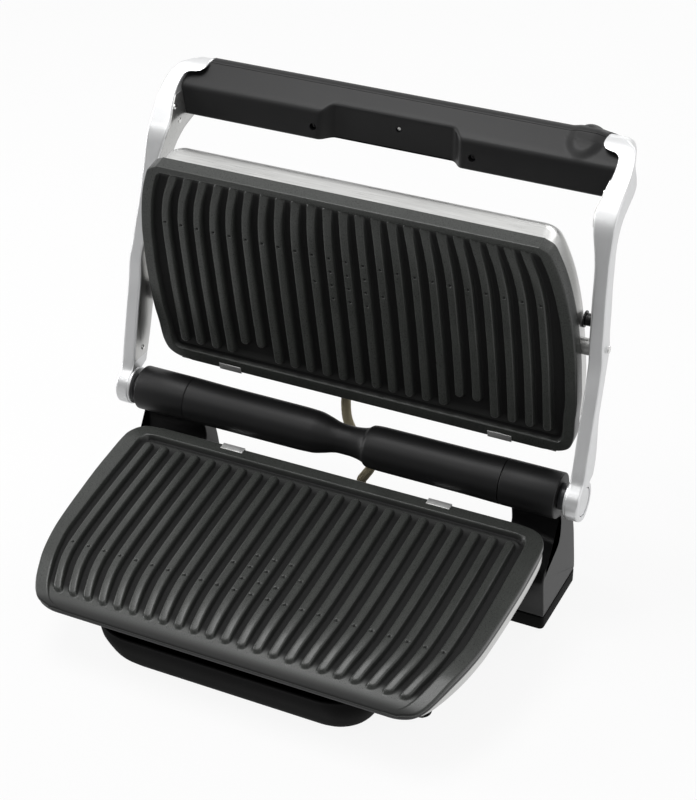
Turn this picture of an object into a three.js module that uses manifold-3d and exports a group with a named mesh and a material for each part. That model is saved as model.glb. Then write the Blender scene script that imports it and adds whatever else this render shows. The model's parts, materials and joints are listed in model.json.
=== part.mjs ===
import * as THREE from 'three';
import { mergeVertices } from 'three/addons/utils/BufferGeometryUtils.js';
import Module from 'manifold-3d';

const wasm = await Module();
wasm.setup();

// Clearances, in millimetres. X runs to the right, Y to the back and Z up.
const FIT = 0.3;
const OVERRUN = 6;
const WELD = 0.0001;
const DEGREE = Math.PI / 180;

// Hinge line of the lid, and the arms, whose inner faces set the width of all that lies between them
const HINGE = { setback: 43, height: 128, steps: 24 };
const ARM = {
  height: 290, span: 231.2, innerShare: 0.9438, hub: 18.5, boss: 1.7,
  strip: 1.6, border: 1.3, stripLow: 24, stripTop: 22,
};
const ARM_INNER = ARM.innerShare * ARM.span;

// Rest position of both grills
const LOWER = { drop: 28.8, setback: 0, tilt: 8 };
const UPPER = { rise: 40.6, setback: 31.7, lean: 11.5 };
const LOWER_HEIGHT = HINGE.height - LOWER.drop;
const tilt = LOWER.tilt * DEGREE;
const lean = UPPER.lean * DEGREE;

// Ribbed plates: x is across, s runs from the hinge end of the ribs to the front, d away from the food
const RIB = { count: 23, height: 5.5, top: 2.7, base: 5, tip: 2.5, run: 4 };
const PLATE = { rim: 12, rimDepth: 0.8, groove: 3, floor: 4, gutter: 6, skirt: 6, round: 13 };
const LOWER_PLATE = {
  sideGap: 8, reach: 209.5, backShare: 0.1122, ribSide: 29, ribFront: 17,
  drop: 12.2, floorDrop: 7.5, tipDrop: 6.4, edge: 2.4,
};
const UPPER_PLATE = {
  sideGap: 5.2, reach: 203.5, backShare: 0.1179, ribSide: 31, ribFront: 15.9,
  tipDrop: 3, skirtDepth: 15, shortRib: 15, frontRim: 10,
};
[LOWER_PLATE, UPPER_PLATE].forEach((plate) => {
  plate.halfWidth = ARM_INNER - plate.sideGap;
  plate.back = plate.backShare * plate.reach;
  plate.ribSpan = plate.halfWidth - plate.ribSide;
  plate.ribLength = plate.reach - plate.ribFront;
});
const SHORT_RIBS = [-7, -6, 6, 7];

// Plan outlines and rib splay, as shares of half width and reach, and of rib length and span
const LOWER_EDGE_SHARES = [
  [0.8468, -LOWER_PLATE.backShare], [0.9229, -0.1021], [0.9753, -0.0649], [0.9962, -0.0143], [1, 0.0573],
  [1, 0.1909], [0.9914, 0.3962], [0.9767, 0.5967], [0.9548, 0.7208], [0.9229, 0.8353],
  [0.8849, 0.9327], [0.8468, 0.9776], [0.785, 0.9986],
];
const UPPER_EDGE_SHARES = [
  [0.8451, -UPPER_PLATE.backShare], [0.9202, -0.1061], [0.9695, -0.0658], [0.9859, 0], [0.9906, 0.087],
  [1, 0.1966],
  [1, 0.344], [0.9873, 0.5897], [0.9671, 0.7371], [0.946, 0.8354], [0.9136, 0.9337],
  [0.8803, 0.9818], [0.8263, 0.9995],
];
const LOWER_SPLAY_SHARES = [
  [-0.1247, 1.0022], [0, 1], [0.2597, 1], [0.5195, 0.9956], [0.7418, 0.9823], [0.8831, 0.9547],
  [1, 0.9145], [1.1169, 0.8664],
];
const UPPER_SPLAY_SHARES = [
  [-0.1279, 0.9978], [0, 1], [0.3198, 1.0011], [0.533, 0.9956], [0.7596, 0.9835], [0.8955, 0.9577],
  [1, 0.9176], [1.1194, 0.8736],
];

// How the lower plate's rim, floor and rib tops bend down towards its front
const RIM_BEND_SHARES = [
  [0, 0], [0.716, 0], [0.79, 0.05], [0.835, 0.18], [0.907, 0.467], [0.955, 0.74], [1, 1],
];
const FLOOR_BEND_SHARES = [[0, 0], [0.716, 0], [0.835, 0.27], [0.917, 0.62], [1, 1]];
const TIP_BEND_SHARES = [[0, 0], [0.78, 0], [0.883, 0.2], [0.945, 0.52], [1, 1]];
const ROW_SHARES = [0.5, 0.76, 0.88, 0.95];

// Lower grill
const BEZEL = { inset: 0.4, gap: 0.9, height: 6.5, width: 12.6, play: 3.6 };
const LOWER_HOUSING = {
  top: 8, brow: 14, waist: 22, base: 24, seat: 30, wall: 2.2,
  sideInset: 1, waistInset: 2.2, baseInset: 3.5, panInset: 36,
};
const DRAIN = { halfWidth: 60, front: 23.5, length: 11, clear: 24 };
const LOWER_CLIP = { side: 117.5, width: 22.7 };
const UPPER_CLIP = { side: 88, width: 23 };
const CLIP = { sheet: 1.5, hook: 6, leg: 1.7, recess: 0.4, proud: 0.1 };

// Upper grill
const UPPER_HOUSING = { wall: 2.2, depth: 48 };
const UPPER_RING_SHARES = [[0.3188, 0.05], [0.625, 0.325], [0.875, 0.575], [0.965, 0.75], [1, 1]];
const UPPER_CROWN = { low: 0.8, high: 16 };
const PIVOT = { along: 88, under: 9, radius: 7.3, flange: 9.5, head: 2, inside: 8, grip: 4.5 };
const STOP = {
  beyond: 20, deeper: 11.5, radius: 5.5, flange: 9, plate: 2, tip: 4, tipLength: 4, inset: 13.6, swing: 26.1,
  steps: 8, boss: 28,
};
PIVOT.depth = UPPER_PLATE.skirtDepth + PIVOT.under;
STOP.along = PIVOT.along + STOP.beyond;
STOP.depth = PIVOT.depth + STOP.deeper;
const STOP_FACE = ARM_INNER - STOP.inset;

// Heating and sensing
const ELEMENT = { radius: 3.2, sides: 6, steps: 36, passes: 4, side: 60, first: 28, front: 70.5, start: 0.3 };
ELEMENT.pitch = (LOWER_PLATE.reach - ELEMENT.front - ELEMENT.first) / (ELEMENT.passes - 1);
const BRACKET = { width: 9, length: 6, out: 95 };
const SHEET = { thickness: 1, lower: 18, upper: 21 };
const PROBE = { radius: 4, length: 3, passShare: 1.5, wire: 0.4, coil: 3, turns: 3, curl: 8, sides: 4 };

PROBE.along = ELEMENT.first + PROBE.passShare * ELEMENT.pitch;

// Release buttons on the left side of both grills
const RELEASE = {
  lowerAlong: 60, upperAlong: 24, length: 20, height: 5, proud: 2, under: 5.6, stem: 14, flange: 2, lip: 1,
  spring: 9, wire: 0.6, coil: 2.2, turns: 4, curl: 6, sides: 4, stop: 3, margin: 10,
};
RELEASE.lower = LOWER_HOUSING.base - RELEASE.under;
RELEASE.upper = UPPER_HOUSING.depth / 2;

// Towers, tube and base
const BUSH = { length: 20, flange: 12, inset: 0.5, rim: 6 };
const TOWER = { width: 52.5, barrel: 21, bush: 9, shaft: 6 };
TOWER.outer = ARM_INNER - ARM.boss - BUSH.inset - BUSH.rim;
TOWER.inner = TOWER.outer - TOWER.width;
const TUBE = { radius: 21, bore: 11, steps: 20 };
const FOOT_SHARE = 0.1016;
const FOOT_FRONT_SHARE = -0.225;
const FOOT = { inside: 0.5, outside: 2, front: 3.6, back: 2, radius: 9, steps: 4 };
const BASE = {
  front: 109.5, back: 97.5, bottom: 5, wall: 3.5, knee: 24, shelf: 58, stepDrop: 4, tailDrop: 26, cover: 2.5,
};

// The tray slides in under the lower grill: its height follows the lowest point of the pan above it
const TRAY = {
  gap: 2.345, side: 21.5, depth: 93, back: 0.5, wall: 2, cornerShare: 0.4946, steps: 4, bottom: 2,
};
const panLow = [
  [LOWER_PLATE.reach - LOWER_HOUSING.panInset, LOWER_HOUSING.seat], [LOWER_PLATE.reach, LOWER_HOUSING.base],
].map(([s, depth]) => LOWER_HEIGHT - s * Math.sin(tilt) - depth * Math.cos(tilt));
TRAY.height = Math.min(...panLow) - TRAY.gap;
TRAY.halfWidth = TOWER.inner - TRAY.side;
const RAIL = { play: 0.5, width: 36.5, front: 148, gap: 6.6, under: 1, noseDrop: 12, slope: 3 };
RAIL.inner = TRAY.halfWidth + RAIL.play;
RAIL.outer = RAIL.inner + RAIL.width;
RAIL.top = TRAY.height - RAIL.under;
RAIL.back = HINGE.setback + FOOT_FRONT_SHARE * HINGE.height - FOOT.front - RAIL.gap;
const FRONT_FOOT = { side: 17, front: 16, radius: 9, steps: 20 };
const GLAND = { across: 92, drop: 16, radius: 8, length: 6, bore: 4, steps: 20 };

// The tray is a tub whose walls open out upwards
const TRAY_RING_SHARES = [
  [0, 0.757, 0.71, 0.65], [0.12, 0.83, 0.764, 0.74], [0.4, 0.919, 0.838, 0.83], [0.7, 0.97, 0.935, 0.92],
  [1, 1, 1, 1],
];

// Lid frame: hubs, rivets, handle and control panel
const HUB_CAP = { radius: 13, depth: 1.6, groove: 0.6, shaftInset: 2.5, shaftEnd: 3.1, steps: 20 };
HUB_CAP.shaftIn = TOWER.inner + HUB_CAP.shaftInset;
HUB_CAP.shaftOut = ARM.span - HUB_CAP.depth - HUB_CAP.shaftEnd;
const RIVET = { radius: 2.3, height: 0.8, steps: 10 };
const RIVET_PLACE_SHARES = [[0.05, 0.118], [0.265, 0.845], [0.255, 0.893]];
const HANDLE = { frontShare: 0.3045, endShare: 0.891, drop: 43.8, depth: 45.3, height: 43.4, shell: 29.7 };
HANDLE.front = HINGE.setback + HANDLE.frontShare * ARM.height;
HANDLE.bottom = HINGE.height + ARM.height - HANDLE.drop;
HANDLE.end = HANDLE.endShare * ARM.span;
HANDLE.split = HANDLE.front + HANDLE.shell;
const GRIP = { halfWidth: 56, slope: 21, depth: 12.7, steps: 6 };
const BUMP = { side: 33, rise: 29.8, radius: 15.5, depth: 12.7, round: 10, steps: 20 };
const BUMP_SHARES = [[0, 0], [0.55, 0.12], [0.85, 0.42], [1, 1]];
const CAVITY = { side: 44, depth: 18.7, floor: 16.3, height: 14.5 };
const BOARD = { border: 2.5, thickness: 1.6 };
const BUTTON = { radius: 6, proud: 1.2, rise: 26, steps: 16, cup: 2, gap: 0.35 };
const BUTTON_PLACE_SHARES = { power: -0.864, frozen_food: -0.617, program: -0.37, confirm: 0.37 };
const LENS = { radius: 11, depth: 2.4, proud: 0.4, steps: 20 };
const HANDLE_SCREW = {
  radius: 2.8, play: 0.5, stem: 1.6, steps: 12, side: 20, sideRise: 12.1, sideDepth: 10.7,
  middle: 4.6, middleRise: 20.1, middleDepth: 14.7, head: 2, end: 5,
};

// Sleeve with the wires from the base to the upper grill, as offsets from the hinge line
const CONDUIT = { radius: 4.8, sides: 8, steps: 20, across: -26, depth: 26, end: -12, play: 0.6 };
const CONDUIT_ROUTE = [
  [-26, 59.6, 34], [-26, 61.5, 24], [-26, 61, 12], [-25.6, 58, -2], [-22, 55, -18], [-12, 54, -36],
  [0, 53.5, -52], [3, 52, -62], [-1, 50, -70], [-5, 49, -77], [-5, 49, -84],
];

// Side and front outlines, as shares of the arm, tower, tube and handle sizes
const ARM_FRONT_SHARES = [
  [-0.0345, 0.0517], [-0.0207, 0.0672], [-0.0114, 0.0886], [0.0052, 0.1555], [0.0224, 0.2214],
  [0.0393, 0.2866], [0.0572, 0.351], [0.0703, 0.4183], [0.0866, 0.4838], [0.1024, 0.549],
  [0.12, 0.6131], [0.1359, 0.6766], [0.1559, 0.7517], [0.171, 0.8034], [0.1897, 0.8414],
  [0.2217, 0.8793], [0.2697, 0.9259], [0.3128, 0.9586], [0.3476, 0.9807], [0.3793, 0.9952],
];
const ARM_REAR_SHARES = [
  [0.4138, 1], [0.4362, 0.9938], [0.4552, 0.9759], [0.4638, 0.9448], [0.4614, 0.8897],
  [0.4431, 0.8517], [0.4103, 0.8345], [0.3597, 0.8207], [0.3076, 0.7983], [0.2707, 0.7569],
  [0.2517, 0.7138], [0.2362, 0.6552], [0.1862, 0.4448], [0.1055, 0.1514], [0.0876, 0.1034],
  [0.0707, 0.0586],
];
const ARM_OUT_SHARES = [
  [1, -0.0793], [1, 0.4207], [0.9909, 0.4838], [0.9844, 0.549], [0.9766, 0.6131], [0.9715, 0.6766],
  [0.9667, 0.7414], [0.9658, 0.8172], [0.968, 0.8828], [0.9719, 0.9379], [0.9667, 0.9655],
  [0.9472, 0.9897], [0.9083, 1.0007],
];
const ARM_IN_SHARES = [
  [0.8231, 1.0007], [0.8231, 0.9917], [0.8391, 0.9828], [0.878, 0.9793], [0.8975, 0.969],
  [0.901, 0.9483], [0.891, 0.9034], [0.8763, 0.8503], [0.8867, 0.8], [0.9018, 0.7483],
  [0.9126, 0.6966], [0.9204, 0.6138], [0.9282, 0.5483], [0.9347, 0.4838], [ARM.innerShare, 0.4207],
  [ARM.innerShare, -0.0793],
];
const TOWER_OUT_SHARES = [
  [-0.0273, 0.8438], [0.0117, 0.7969], [0.025, 0.7422], [0.0234, 0.6406], [0, 0.5898],
  [-0.0781, 0.5586], [-0.1875, 0.5312], [-0.2539, 0.4961], [-0.2734, 0.4453], [-0.2578, 0.3281],
  [-0.2281, 0.1641], [FOOT_FRONT_SHARE, FOOT_SHARE], [0.4258, FOOT_SHARE], [0.4141, 0.1875], [0.3359, 0.5664],
  [0.2344, 0.7812], [0.1328, 0.9219],
];
const TOWER_IN_SHARES = [
  [-0.0156, 0.8438], [0.0859, 0.7969], [0.1328, 0.7344], [0.1562, 0.6562], [0.1719, 0.5703],
  [0.1406, 0.5156], [0.0547, 0.4688], [-0.0547, 0.4219], [-0.1484, 0.375], [-0.2031, 0.3125],
  [-0.2219, 0.1641], [FOOT_FRONT_SHARE, FOOT_SHARE], [0.4258, FOOT_SHARE], [0.4141, 0.1875], [0.3359, 0.5664],
  [0.2344, 0.7812], [0.1328, 0.9219],
];
const TUBE_SHARES = [
  [-1, 1], [-0.7619, 0.9714], [-0.2857, 0.9619], [-0.1778, 0.9333], [-0.1016, 0.8095],
  [-0.0508, 0.7], [-0.0127, 0.6571], [0.0508, 0.6571], [0.1016, 0.6952], [0.146, 0.781],
  [0.1746, 0.9238], [0.254, 0.9619], [0.7619, 0.9714], [1, 1],
];
const HANDLE_SIDE_SHARES = [
  [0.0596, 0], [0.0132, 0.0323], [0, 0.0876], [0.0508, 0.4101], [0.0795, 0.5714], [0.1126, 0.6359],
  [0.1921, 0.6959], [0.457, 0.8525], [0.6556, 0.9677], [0.755, 1], [0.8653, 0.9931],
  [0.9558, 0.9309], [1, 0.8134], [1, 0.3871], [0.9536, 0.2765], [0.8322, 0.2166], [0.2583, 0.0645],
];

// Geometry helpers
function flip(geometry) {
  const { array } = geometry.index;
  for (let i = 0; i < array.length; i += 3) {
    const swap = array[i + 1];
    array[i + 1] = array[i + 2];
    array[i + 2] = swap;
  }
  return geometry;
}

function signedVolume(geometry) {
  const position = geometry.attributes.position;
  const { array } = geometry.index;
  const [a, b, c] = [new THREE.Vector3(), new THREE.Vector3(), new THREE.Vector3()];
  let sum = 0;
  for (let i = 0; i < array.length; i += 3) {
    a.fromBufferAttribute(position, array[i]);
    b.fromBufferAttribute(position, array[i + 1]);
    c.fromBufferAttribute(position, array[i + 2]);
    sum += a.dot(b.cross(c));
  }
  return sum;
}

function outward(geometry) {
  return signedVolume(geometry) < 0 ? flip(geometry) : geometry;
}

function fromArrays(positions, index) {
  const geometry = new THREE.BufferGeometry();
  geometry.setAttribute('position', new THREE.BufferAttribute(new Float32Array(positions), 3));
  geometry.setIndex(index);
  return geometry;
}

function capFaces(ring, offset, reversed) {
  const normal = new THREE.Vector3();
  ring.forEach((p, i) => {
    const q = ring[(i + 1) % ring.length];
    normal.x += (p.y - q.y) * (p.z + q.z);
    normal.y += (p.z - q.z) * (p.x + q.x);
    normal.z += (p.x - q.x) * (p.y + q.y);
  });
  normal.normalize();
  const upright = Math.abs(normal.x) > Math.abs(normal.z);
  const helper = new THREE.Vector3(upright ? 0 : 1, 0, upright ? 1 : 0);
  const u = new THREE.Vector3().crossVectors(helper, normal).normalize();
  const v = new THREE.Vector3().crossVectors(normal, u);
  const flat = ring.map((p) => new THREE.Vector2(p.dot(u), p.dot(v)));
  const faces = [];
  for (const [a, b, c] of THREE.ShapeUtils.triangulateShape(flat, [])) {
    const ab = flat[b].clone().sub(flat[a]);
    const ac = flat[c].clone().sub(flat[a]);
    const leftTurn = ab.cross(ac) > 0;
    const order = leftTurn === reversed ? [a, c, b] : [a, b, c];
    faces.push(...order.map((corner) => offset + corner));
  }
  return faces;
}

// A closed body through rings of equal count
function loft(rings) {
  const count = rings[0].length;
  const positions = rings.flat().flatMap((p) => [p.x, p.y, p.z]);
  const index = [];
  for (let r = 0; r + 1 < rings.length; r += 1) {
    for (let i = 0; i < count; i += 1) {
      const a = r * count + i;
      const b = r * count + ((i + 1) % count);
      index.push(a, b, b + count, a, b + count, a + count);
    }
  }
  index.push(...capFaces(rings[0], 0, true));
  index.push(...capFaces(rings[rings.length - 1], (rings.length - 1) * count, false));
  return outward(fromArrays(positions, index));
}

const ALONG = {
  x: (c, [a, b]) => new THREE.Vector3(c, a, b),
  y: (c, [a, b]) => new THREE.Vector3(a, c, b),
  z: (c, [a, b]) => new THREE.Vector3(a, b, c),
};

function prism(axis, points, from, to) {
  return loft([from, to].map((c) => points.map((p) => ALONG[axis](c, p))));
}

function circle(radius, steps, a = 0, b = 0) {
  return Array.from({ length: steps }, (_, i) => {
    const turn = (i / steps) * 2 * Math.PI;
    return [a + radius * Math.cos(turn), b + radius * Math.sin(turn)];
  });
}

function rod(axis, radius, steps, centre, from, to) {
  return prism(axis, circle(radius, steps, ...centre), from, to);
}

function box(x0, x1, y0, y1, z0, z1) {
  return prism('z', [[x0, y0], [x1, y0], [x1, y1], [x0, y1]], z0, z1);
}

function roundedRectangle(a0, a1, b0, b1, radius, steps) {
  const centres = [
    [a1 - radius, b1 - radius], [a0 + radius, b1 - radius],
    [a0 + radius, b0 + radius], [a1 - radius, b0 + radius],
  ];
  return centres.flatMap(([a, b], quarter) => Array.from({ length: steps + 1 }, (_, i) => {
    const turn = (quarter + i / steps) * (Math.PI / 2);
    return [a + radius * Math.cos(turn), b + radius * Math.sin(turn)];
  }));
}

// A turned body about an axis through a centre; the profile runs [radius, along]
function turned(axis, profile, steps, centre) {
  const points = profile.map(([r, h]) => new THREE.Vector2(r, h));
  const geometry = new THREE.LatheGeometry(points, steps);
  const [a, b] = centre;
  if (axis === 'x') {
    geometry.rotateZ(-Math.PI / 2);
    geometry.translate(0, a, b);
  } else if (axis === 'y') {
    geometry.translate(a, 0, b);
  } else {
    geometry.rotateX(Math.PI / 2);
    geometry.translate(a, b, 0);
  }
  return welded(geometry);
}

function welded(source) {
  const geometry = source.clone();
  if (source.userData.closed) return outward(geometry);
  geometry.deleteAttribute('normal');
  geometry.deleteAttribute('uv');
  const merged = mergeVertices(geometry, WELD);
  const kept = [];
  const { array } = merged.index;
  for (let i = 0; i < array.length; i += 3) {
    const [a, b, c] = [array[i], array[i + 1], array[i + 2]];
    if (a !== b && b !== c && c !== a) kept.push(a, b, c);
  }
  merged.setIndex(kept);
  return outward(merged);
}

function toManifold(geometry) {
  const merged = welded(geometry);
  return new wasm.Manifold(new wasm.Mesh({
    numProp: 3,
    vertProperties: new Float32Array(merged.attributes.position.array),
    triVerts: new Uint32Array(merged.index.array),
  }));
}

function fromManifold(manifold) {
  const mesh = manifold.getMesh();
  const geometry = fromArrays(mesh.vertProperties, Array.from(mesh.triVerts));
  geometry.userData.closed = true;
  return geometry;
}

function cut(body, ...tools) {
  return fromManifold(tools.reduce((left, tool) => left.subtract(toManifold(tool)), toManifold(body)));
}

function join(...bodies) {
  const [first, ...rest] = bodies;
  return fromManifold(rest.reduce((sum, body) => sum.add(toManifold(body)), toManifold(first)));
}

function meet(body, ...tools) {
  return fromManifold(tools.reduce((left, tool) => left.intersect(toManifold(tool)), toManifold(body)));
}

function mirrored(geometry) {
  return flip(geometry.clone().scale(-1, 1, 1));
}

function tube(points, radius, sides, steps) {
  const path = new THREE.CatmullRomCurve3(points);
  const section = new THREE.Shape(circle(radius, sides).map(([a, b]) => new THREE.Vector2(a, b)));
  return welded(new THREE.ExtrudeGeometry(section, { steps, bevelEnabled: false, extrudePath: path }));
}

// A coil spring along Z from a foot point, as one unbroken tube
function coil(x, y, from, to, spring) {
  const rings = [];
  const count = spring.turns * spring.curl;
  for (let i = 0; i <= count; i += 1) {
    const turn = (i / spring.curl) * 2 * Math.PI;
    const rise = from + spring.wire + (to - from - 2 * spring.wire) * (i / count);
    const out = new THREE.Vector3(Math.cos(turn), Math.sin(turn), 0);
    rings.push(circle(spring.wire, spring.sides).map(([a, b]) => (
      new THREE.Vector3(x, y, rise + b).addScaledVector(out, spring.coil + a)
    )));
  }
  return loft(rings);
}

// Value of a table of [place, value] pairs, joined by straight lines
function lookup(table, place) {
  const next = table.findIndex(([key]) => key >= place);
  if (next === 0) return table[0][1];
  if (next < 0) return table[table.length - 1][1];
  const [k0, v0] = table[next - 1];
  const [k1, v1] = table[next];
  return v0 + ((v1 - v0) * (place - k0)) / (k1 - k0);
}

// Frames of the two grills: [x, s, d] to the object's own frame
const LOWER_FRAME = new THREE.Matrix4().makeBasis(
  new THREE.Vector3(1, 0, 0),
  new THREE.Vector3(0, -Math.cos(tilt), -Math.sin(tilt)),
  new THREE.Vector3(0, Math.sin(tilt), -Math.cos(tilt)),
).setPosition(0, LOWER.setback, LOWER_HEIGHT);
const UPPER_FRAME = new THREE.Matrix4().makeBasis(
  new THREE.Vector3(1, 0, 0),
  new THREE.Vector3(0, -Math.sin(lean), Math.cos(lean)),
  new THREE.Vector3(0, Math.cos(lean), Math.sin(lean)),
).setPosition(0, HINGE.setback + UPPER.setback, HINGE.height + UPPER.rise);

function inFrame(geometry, frame) {
  return outward(welded(geometry).applyMatrix4(frame));
}

function worldYZ(frame, s, d) {
  const p = new THREE.Vector3(0, s, d).applyMatrix4(frame);
  return [p.y, p.z];
}

// Plan outline of a grill in its own frame, drawn in by an inset
function planOutline(plate, shares, inset) {
  const right = shares.map(([x, s]) => new THREE.Vector2(x * plate.halfWidth, s * plate.reach));
  const left = right.slice().reverse().map((p) => new THREE.Vector2(-p.x, p.y));
  return drawnIn([...right, ...left], inset).map((p) => [p.x, p.y]);
}

// Each corner of a closed outline is moved inwards along its mitre
function drawnIn(points, inset) {
  const sense = THREE.ShapeUtils.area(points) > 0 ? 1 : -1;
  return points.map((p, i) => {
    const before = points[(i + points.length - 1) % points.length];
    const after = points[(i + 1) % points.length];
    const a = p.clone().sub(before).normalize();
    const b = after.clone().sub(p).normalize();
    const normalA = new THREE.Vector2(-a.y, a.x).multiplyScalar(sense);
    const normalB = new THREE.Vector2(-b.y, b.x).multiplyScalar(sense);
    const mitre = normalA.clone().add(normalB).normalize();
    return p.clone().addScaledVector(mitre, inset / mitre.dot(normalA));
  });
}

// The same outline brought in by scaling, for insets wider than its corners are round
function scaledOutline(plate, shares, inset) {
  const middle = (plate.reach - plate.back) / 2;
  const across = 1 - inset / plate.halfWidth;
  const along = 1 - (2 * inset) / (plate.reach + plate.back);
  return planOutline(plate, shares, 0).map(([x, s]) => [x * across, middle + (s - middle) * along]);
}

function planLoft(plate, shares, levels) {
  return loft(levels.map(([d, inset]) => {
    const outline = inset > PLATE.round ? scaledOutline : planOutline;
    return outline(plate, shares, inset).map(([x, s]) => new THREE.Vector3(x, s, d));
  }));
}

// Half width of a plan outline at a place s along its sides
function widthAt(plate, shares, s) {
  return lookup(shares.map(([x, along]) => [along * plate.reach, x * plate.halfWidth]), s);
}

// Lower plate depths below the rib tops, at a place s
const lowerShape = {
  rim: (s) => PLATE.rimDepth + LOWER_PLATE.drop * lookup(RIM_BEND_SHARES, s / LOWER_PLATE.reach),
  floor: (s) => RIB.height + LOWER_PLATE.floorDrop * lookup(FLOOR_BEND_SHARES, s / LOWER_PLATE.reach),
  top: (s) => LOWER_PLATE.tipDrop * lookup(TIP_BEND_SHARES, s / LOWER_PLATE.ribLength),
};
const lowerRimUnder = (s) => {
  const bend = lookup(RIM_BEND_SHARES, s / LOWER_PLATE.reach);
  return PLATE.rimDepth + PLATE.skirt + (LOWER_PLATE.drop - PLATE.skirt + LOWER_PLATE.edge) * bend;
};
const lowerFloorUnder = (s) => Math.max(lowerShape.floor(s) + PLATE.floor, lowerRimUnder(s))
  - (PLATE.floor - LOWER_PLATE.edge) * lookup(RIM_BEND_SHARES, s / LOWER_PLATE.reach);
const upperShape = {
  rim: () => PLATE.rimDepth,
  floor: () => RIB.height,
  top: (s) => UPPER_PLATE.tipDrop * lookup(TIP_BEND_SHARES, s / UPPER_PLATE.ribLength),
};

// One cross-section of a ribbed plate, in rib columns from left to right and back underneath
function plateRing(plate, splay, shape, row) {
  const { s } = row;
  const half = plate.halfWidth + OVERRUN;
  const span = plate.ribSpan * lookup(splay, s / plate.ribLength);
  const last = (RIB.count - 1) / 2;
  const rim = shape.rim(s);
  const low = row.kind === 'rim' ? rim : Math.max(shape.floor(s), rim);
  const floorEdge = Math.min(span + RIB.base + PLATE.gutter, row.skirtEdge);
  const rimEdge = floorEdge + RIB.base / 2;
  const points = [[-half, rim], [-rimEdge, rim], [-floorEdge, low]];
  for (let k = -last; k <= last; k += 1) {
    const centre = (k / last) * span;
    const short = plate.shortRib && SHORT_RIBS.includes(k) && s < plate.shortRib;
    const rise = short ? 0 : row.lift ?? 0;
    const top = low + (Math.min(shape.top(s), low) - low) * rise;
    points.push([centre - RIB.base, low], [centre - RIB.top, top]);
    points.push([centre + RIB.top, top], [centre + RIB.base, low]);
  }
  points.push([floorEdge, low], [rimEdge, rim], [half, rim]);
  const under = row.under;
  const skirtEdge = row.skirtEdge;
  points.push([half, row.skirt], [skirtEdge, row.skirt], [skirtEdge - RIB.base / 2, under]);
  points.push([-skirtEdge + RIB.base / 2, under], [-skirtEdge, row.skirt], [-half, row.skirt]);
  return points.map(([x, d]) => new THREE.Vector3(x, s, d));
}

function ribRows(plate) {
  const length = plate.ribLength;
  const rows = [
    { s: -RIB.tip / 2, lift: 0 },
    { s: RIB.tip, lift: 1 },
  ];
  if (plate.shortRib) {
    rows.push({ s: plate.shortRib - RIB.tip / 2, lift: 1 }, { s: plate.shortRib + RIB.tip, lift: 1 });
  }
  ROW_SHARES.forEach((share) => rows.push({ s: share * length, lift: 1 }));
  rows.push({ s: length, lift: 0.6 }, { s: length + RIB.tip, lift: 0 });
  return rows;
}

function lowerPlateBody() {
  const plate = LOWER_PLATE;
  const rows = [
    { s: -plate.back - OVERRUN, kind: 'rim', thin: true },
    { s: -plate.back + BEZEL.width + FIT, kind: 'rim', thin: true },
    { s: -plate.back + BEZEL.width + RIB.tip, kind: 'rim' },
    ...ribRows(plate),
    { s: plate.reach - BEZEL.width - FIT, kind: 'floor', thin: true },
    { s: plate.reach, kind: 'floor', thin: true },
    { s: plate.reach + OVERRUN, kind: 'floor', thin: true },
  ];
  rows.forEach((row) => {
    row.skirt = lowerRimUnder(row.s);
    row.under = row.thin ? row.skirt : Math.max(lowerFloorUnder(row.s), row.skirt);
    const side = Math.min(Math.max(row.s, plate.back), plate.ribLength + RIB.run);
    row.skirtEdge = widthAt(plate, LOWER_EDGE_SHARES, side) - BEZEL.width - RIB.tip;
  });
  const slab = loft(rows.map((row) => plateRing(plate, LOWER_SPLAY_SHARES, lowerShape, row)));
  return meet(slab, planLoft(plate, LOWER_EDGE_SHARES, [[-OVERRUN, 0], [LOWER_HOUSING.base, 0]]));
}

function upperPlateBody() {
  const plate = UPPER_PLATE;
  const frontRim = plate.reach - plate.frontRim;
  const rows = [
    { s: -plate.back - OVERRUN, kind: 'rim', deep: true },
    { s: -plate.back + PLATE.skirt, kind: 'rim', deep: true },
    { s: -PLATE.groove, kind: 'rim' },
    ...ribRows(plate),
    { s: frontRim, kind: 'rim' },
    { s: frontRim + RIB.tip, kind: 'rim', deep: true },
    { s: plate.reach + OVERRUN, kind: 'rim', deep: true },
  ];
  rows.forEach((row) => {
    row.skirt = plate.skirtDepth;
    row.under = row.deep ? row.skirt : RIB.height + PLATE.floor;
    const side = Math.min(Math.max(row.s, plate.back), plate.ribLength + RIB.run);
    row.skirtEdge = widthAt(plate, UPPER_EDGE_SHARES, side) - PLATE.rim;
  });
  const slab = loft(rows.map((row) => plateRing(plate, UPPER_SPLAY_SHARES, upperShape, row)));
  return meet(slab, planLoft(plate, UPPER_EDGE_SHARES, [[-OVERRUN, 0], [UPPER_HOUSING.depth, 0]]));
}

// A slab that follows the lower plate's bend, for what seats below it
function bentSlab(upper, lower) {
  const half = LOWER_PLATE.halfWidth + OVERRUN;
  const bends = RIM_BEND_SHARES.slice(1).map(([share]) => share * LOWER_PLATE.reach);
  const places = [-LOWER_PLATE.back - OVERRUN, ...bends, LOWER_PLATE.reach + OVERRUN];
  return loft(places.map((s) => [
    new THREE.Vector3(-half, s, upper(s)), new THREE.Vector3(half, s, upper(s)),
    new THREE.Vector3(half, s, lower(s)), new THREE.Vector3(-half, s, lower(s)),
  ]));
}

const bezelTop = (s) => lowerRimUnder(s) + BEZEL.gap;
const bezelUnder = (s) => bezelTop(s) + BEZEL.height;

function clipBody(plate, place, seat) {
  const back = -plate.back + CLIP.recess;
  const top = PLATE.rimDepth - CLIP.proud;
  const profile = [
    [back, top], [back + CLIP.hook, top], [back + CLIP.hook, top + CLIP.sheet],
    [back + CLIP.leg, top + CLIP.sheet], [back + CLIP.leg, seat - FIT], [back, seat - FIT],
  ];
  const inner = plate.halfWidth - place.side;
  return prism('x', profile, inner, inner + place.width);
}

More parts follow.
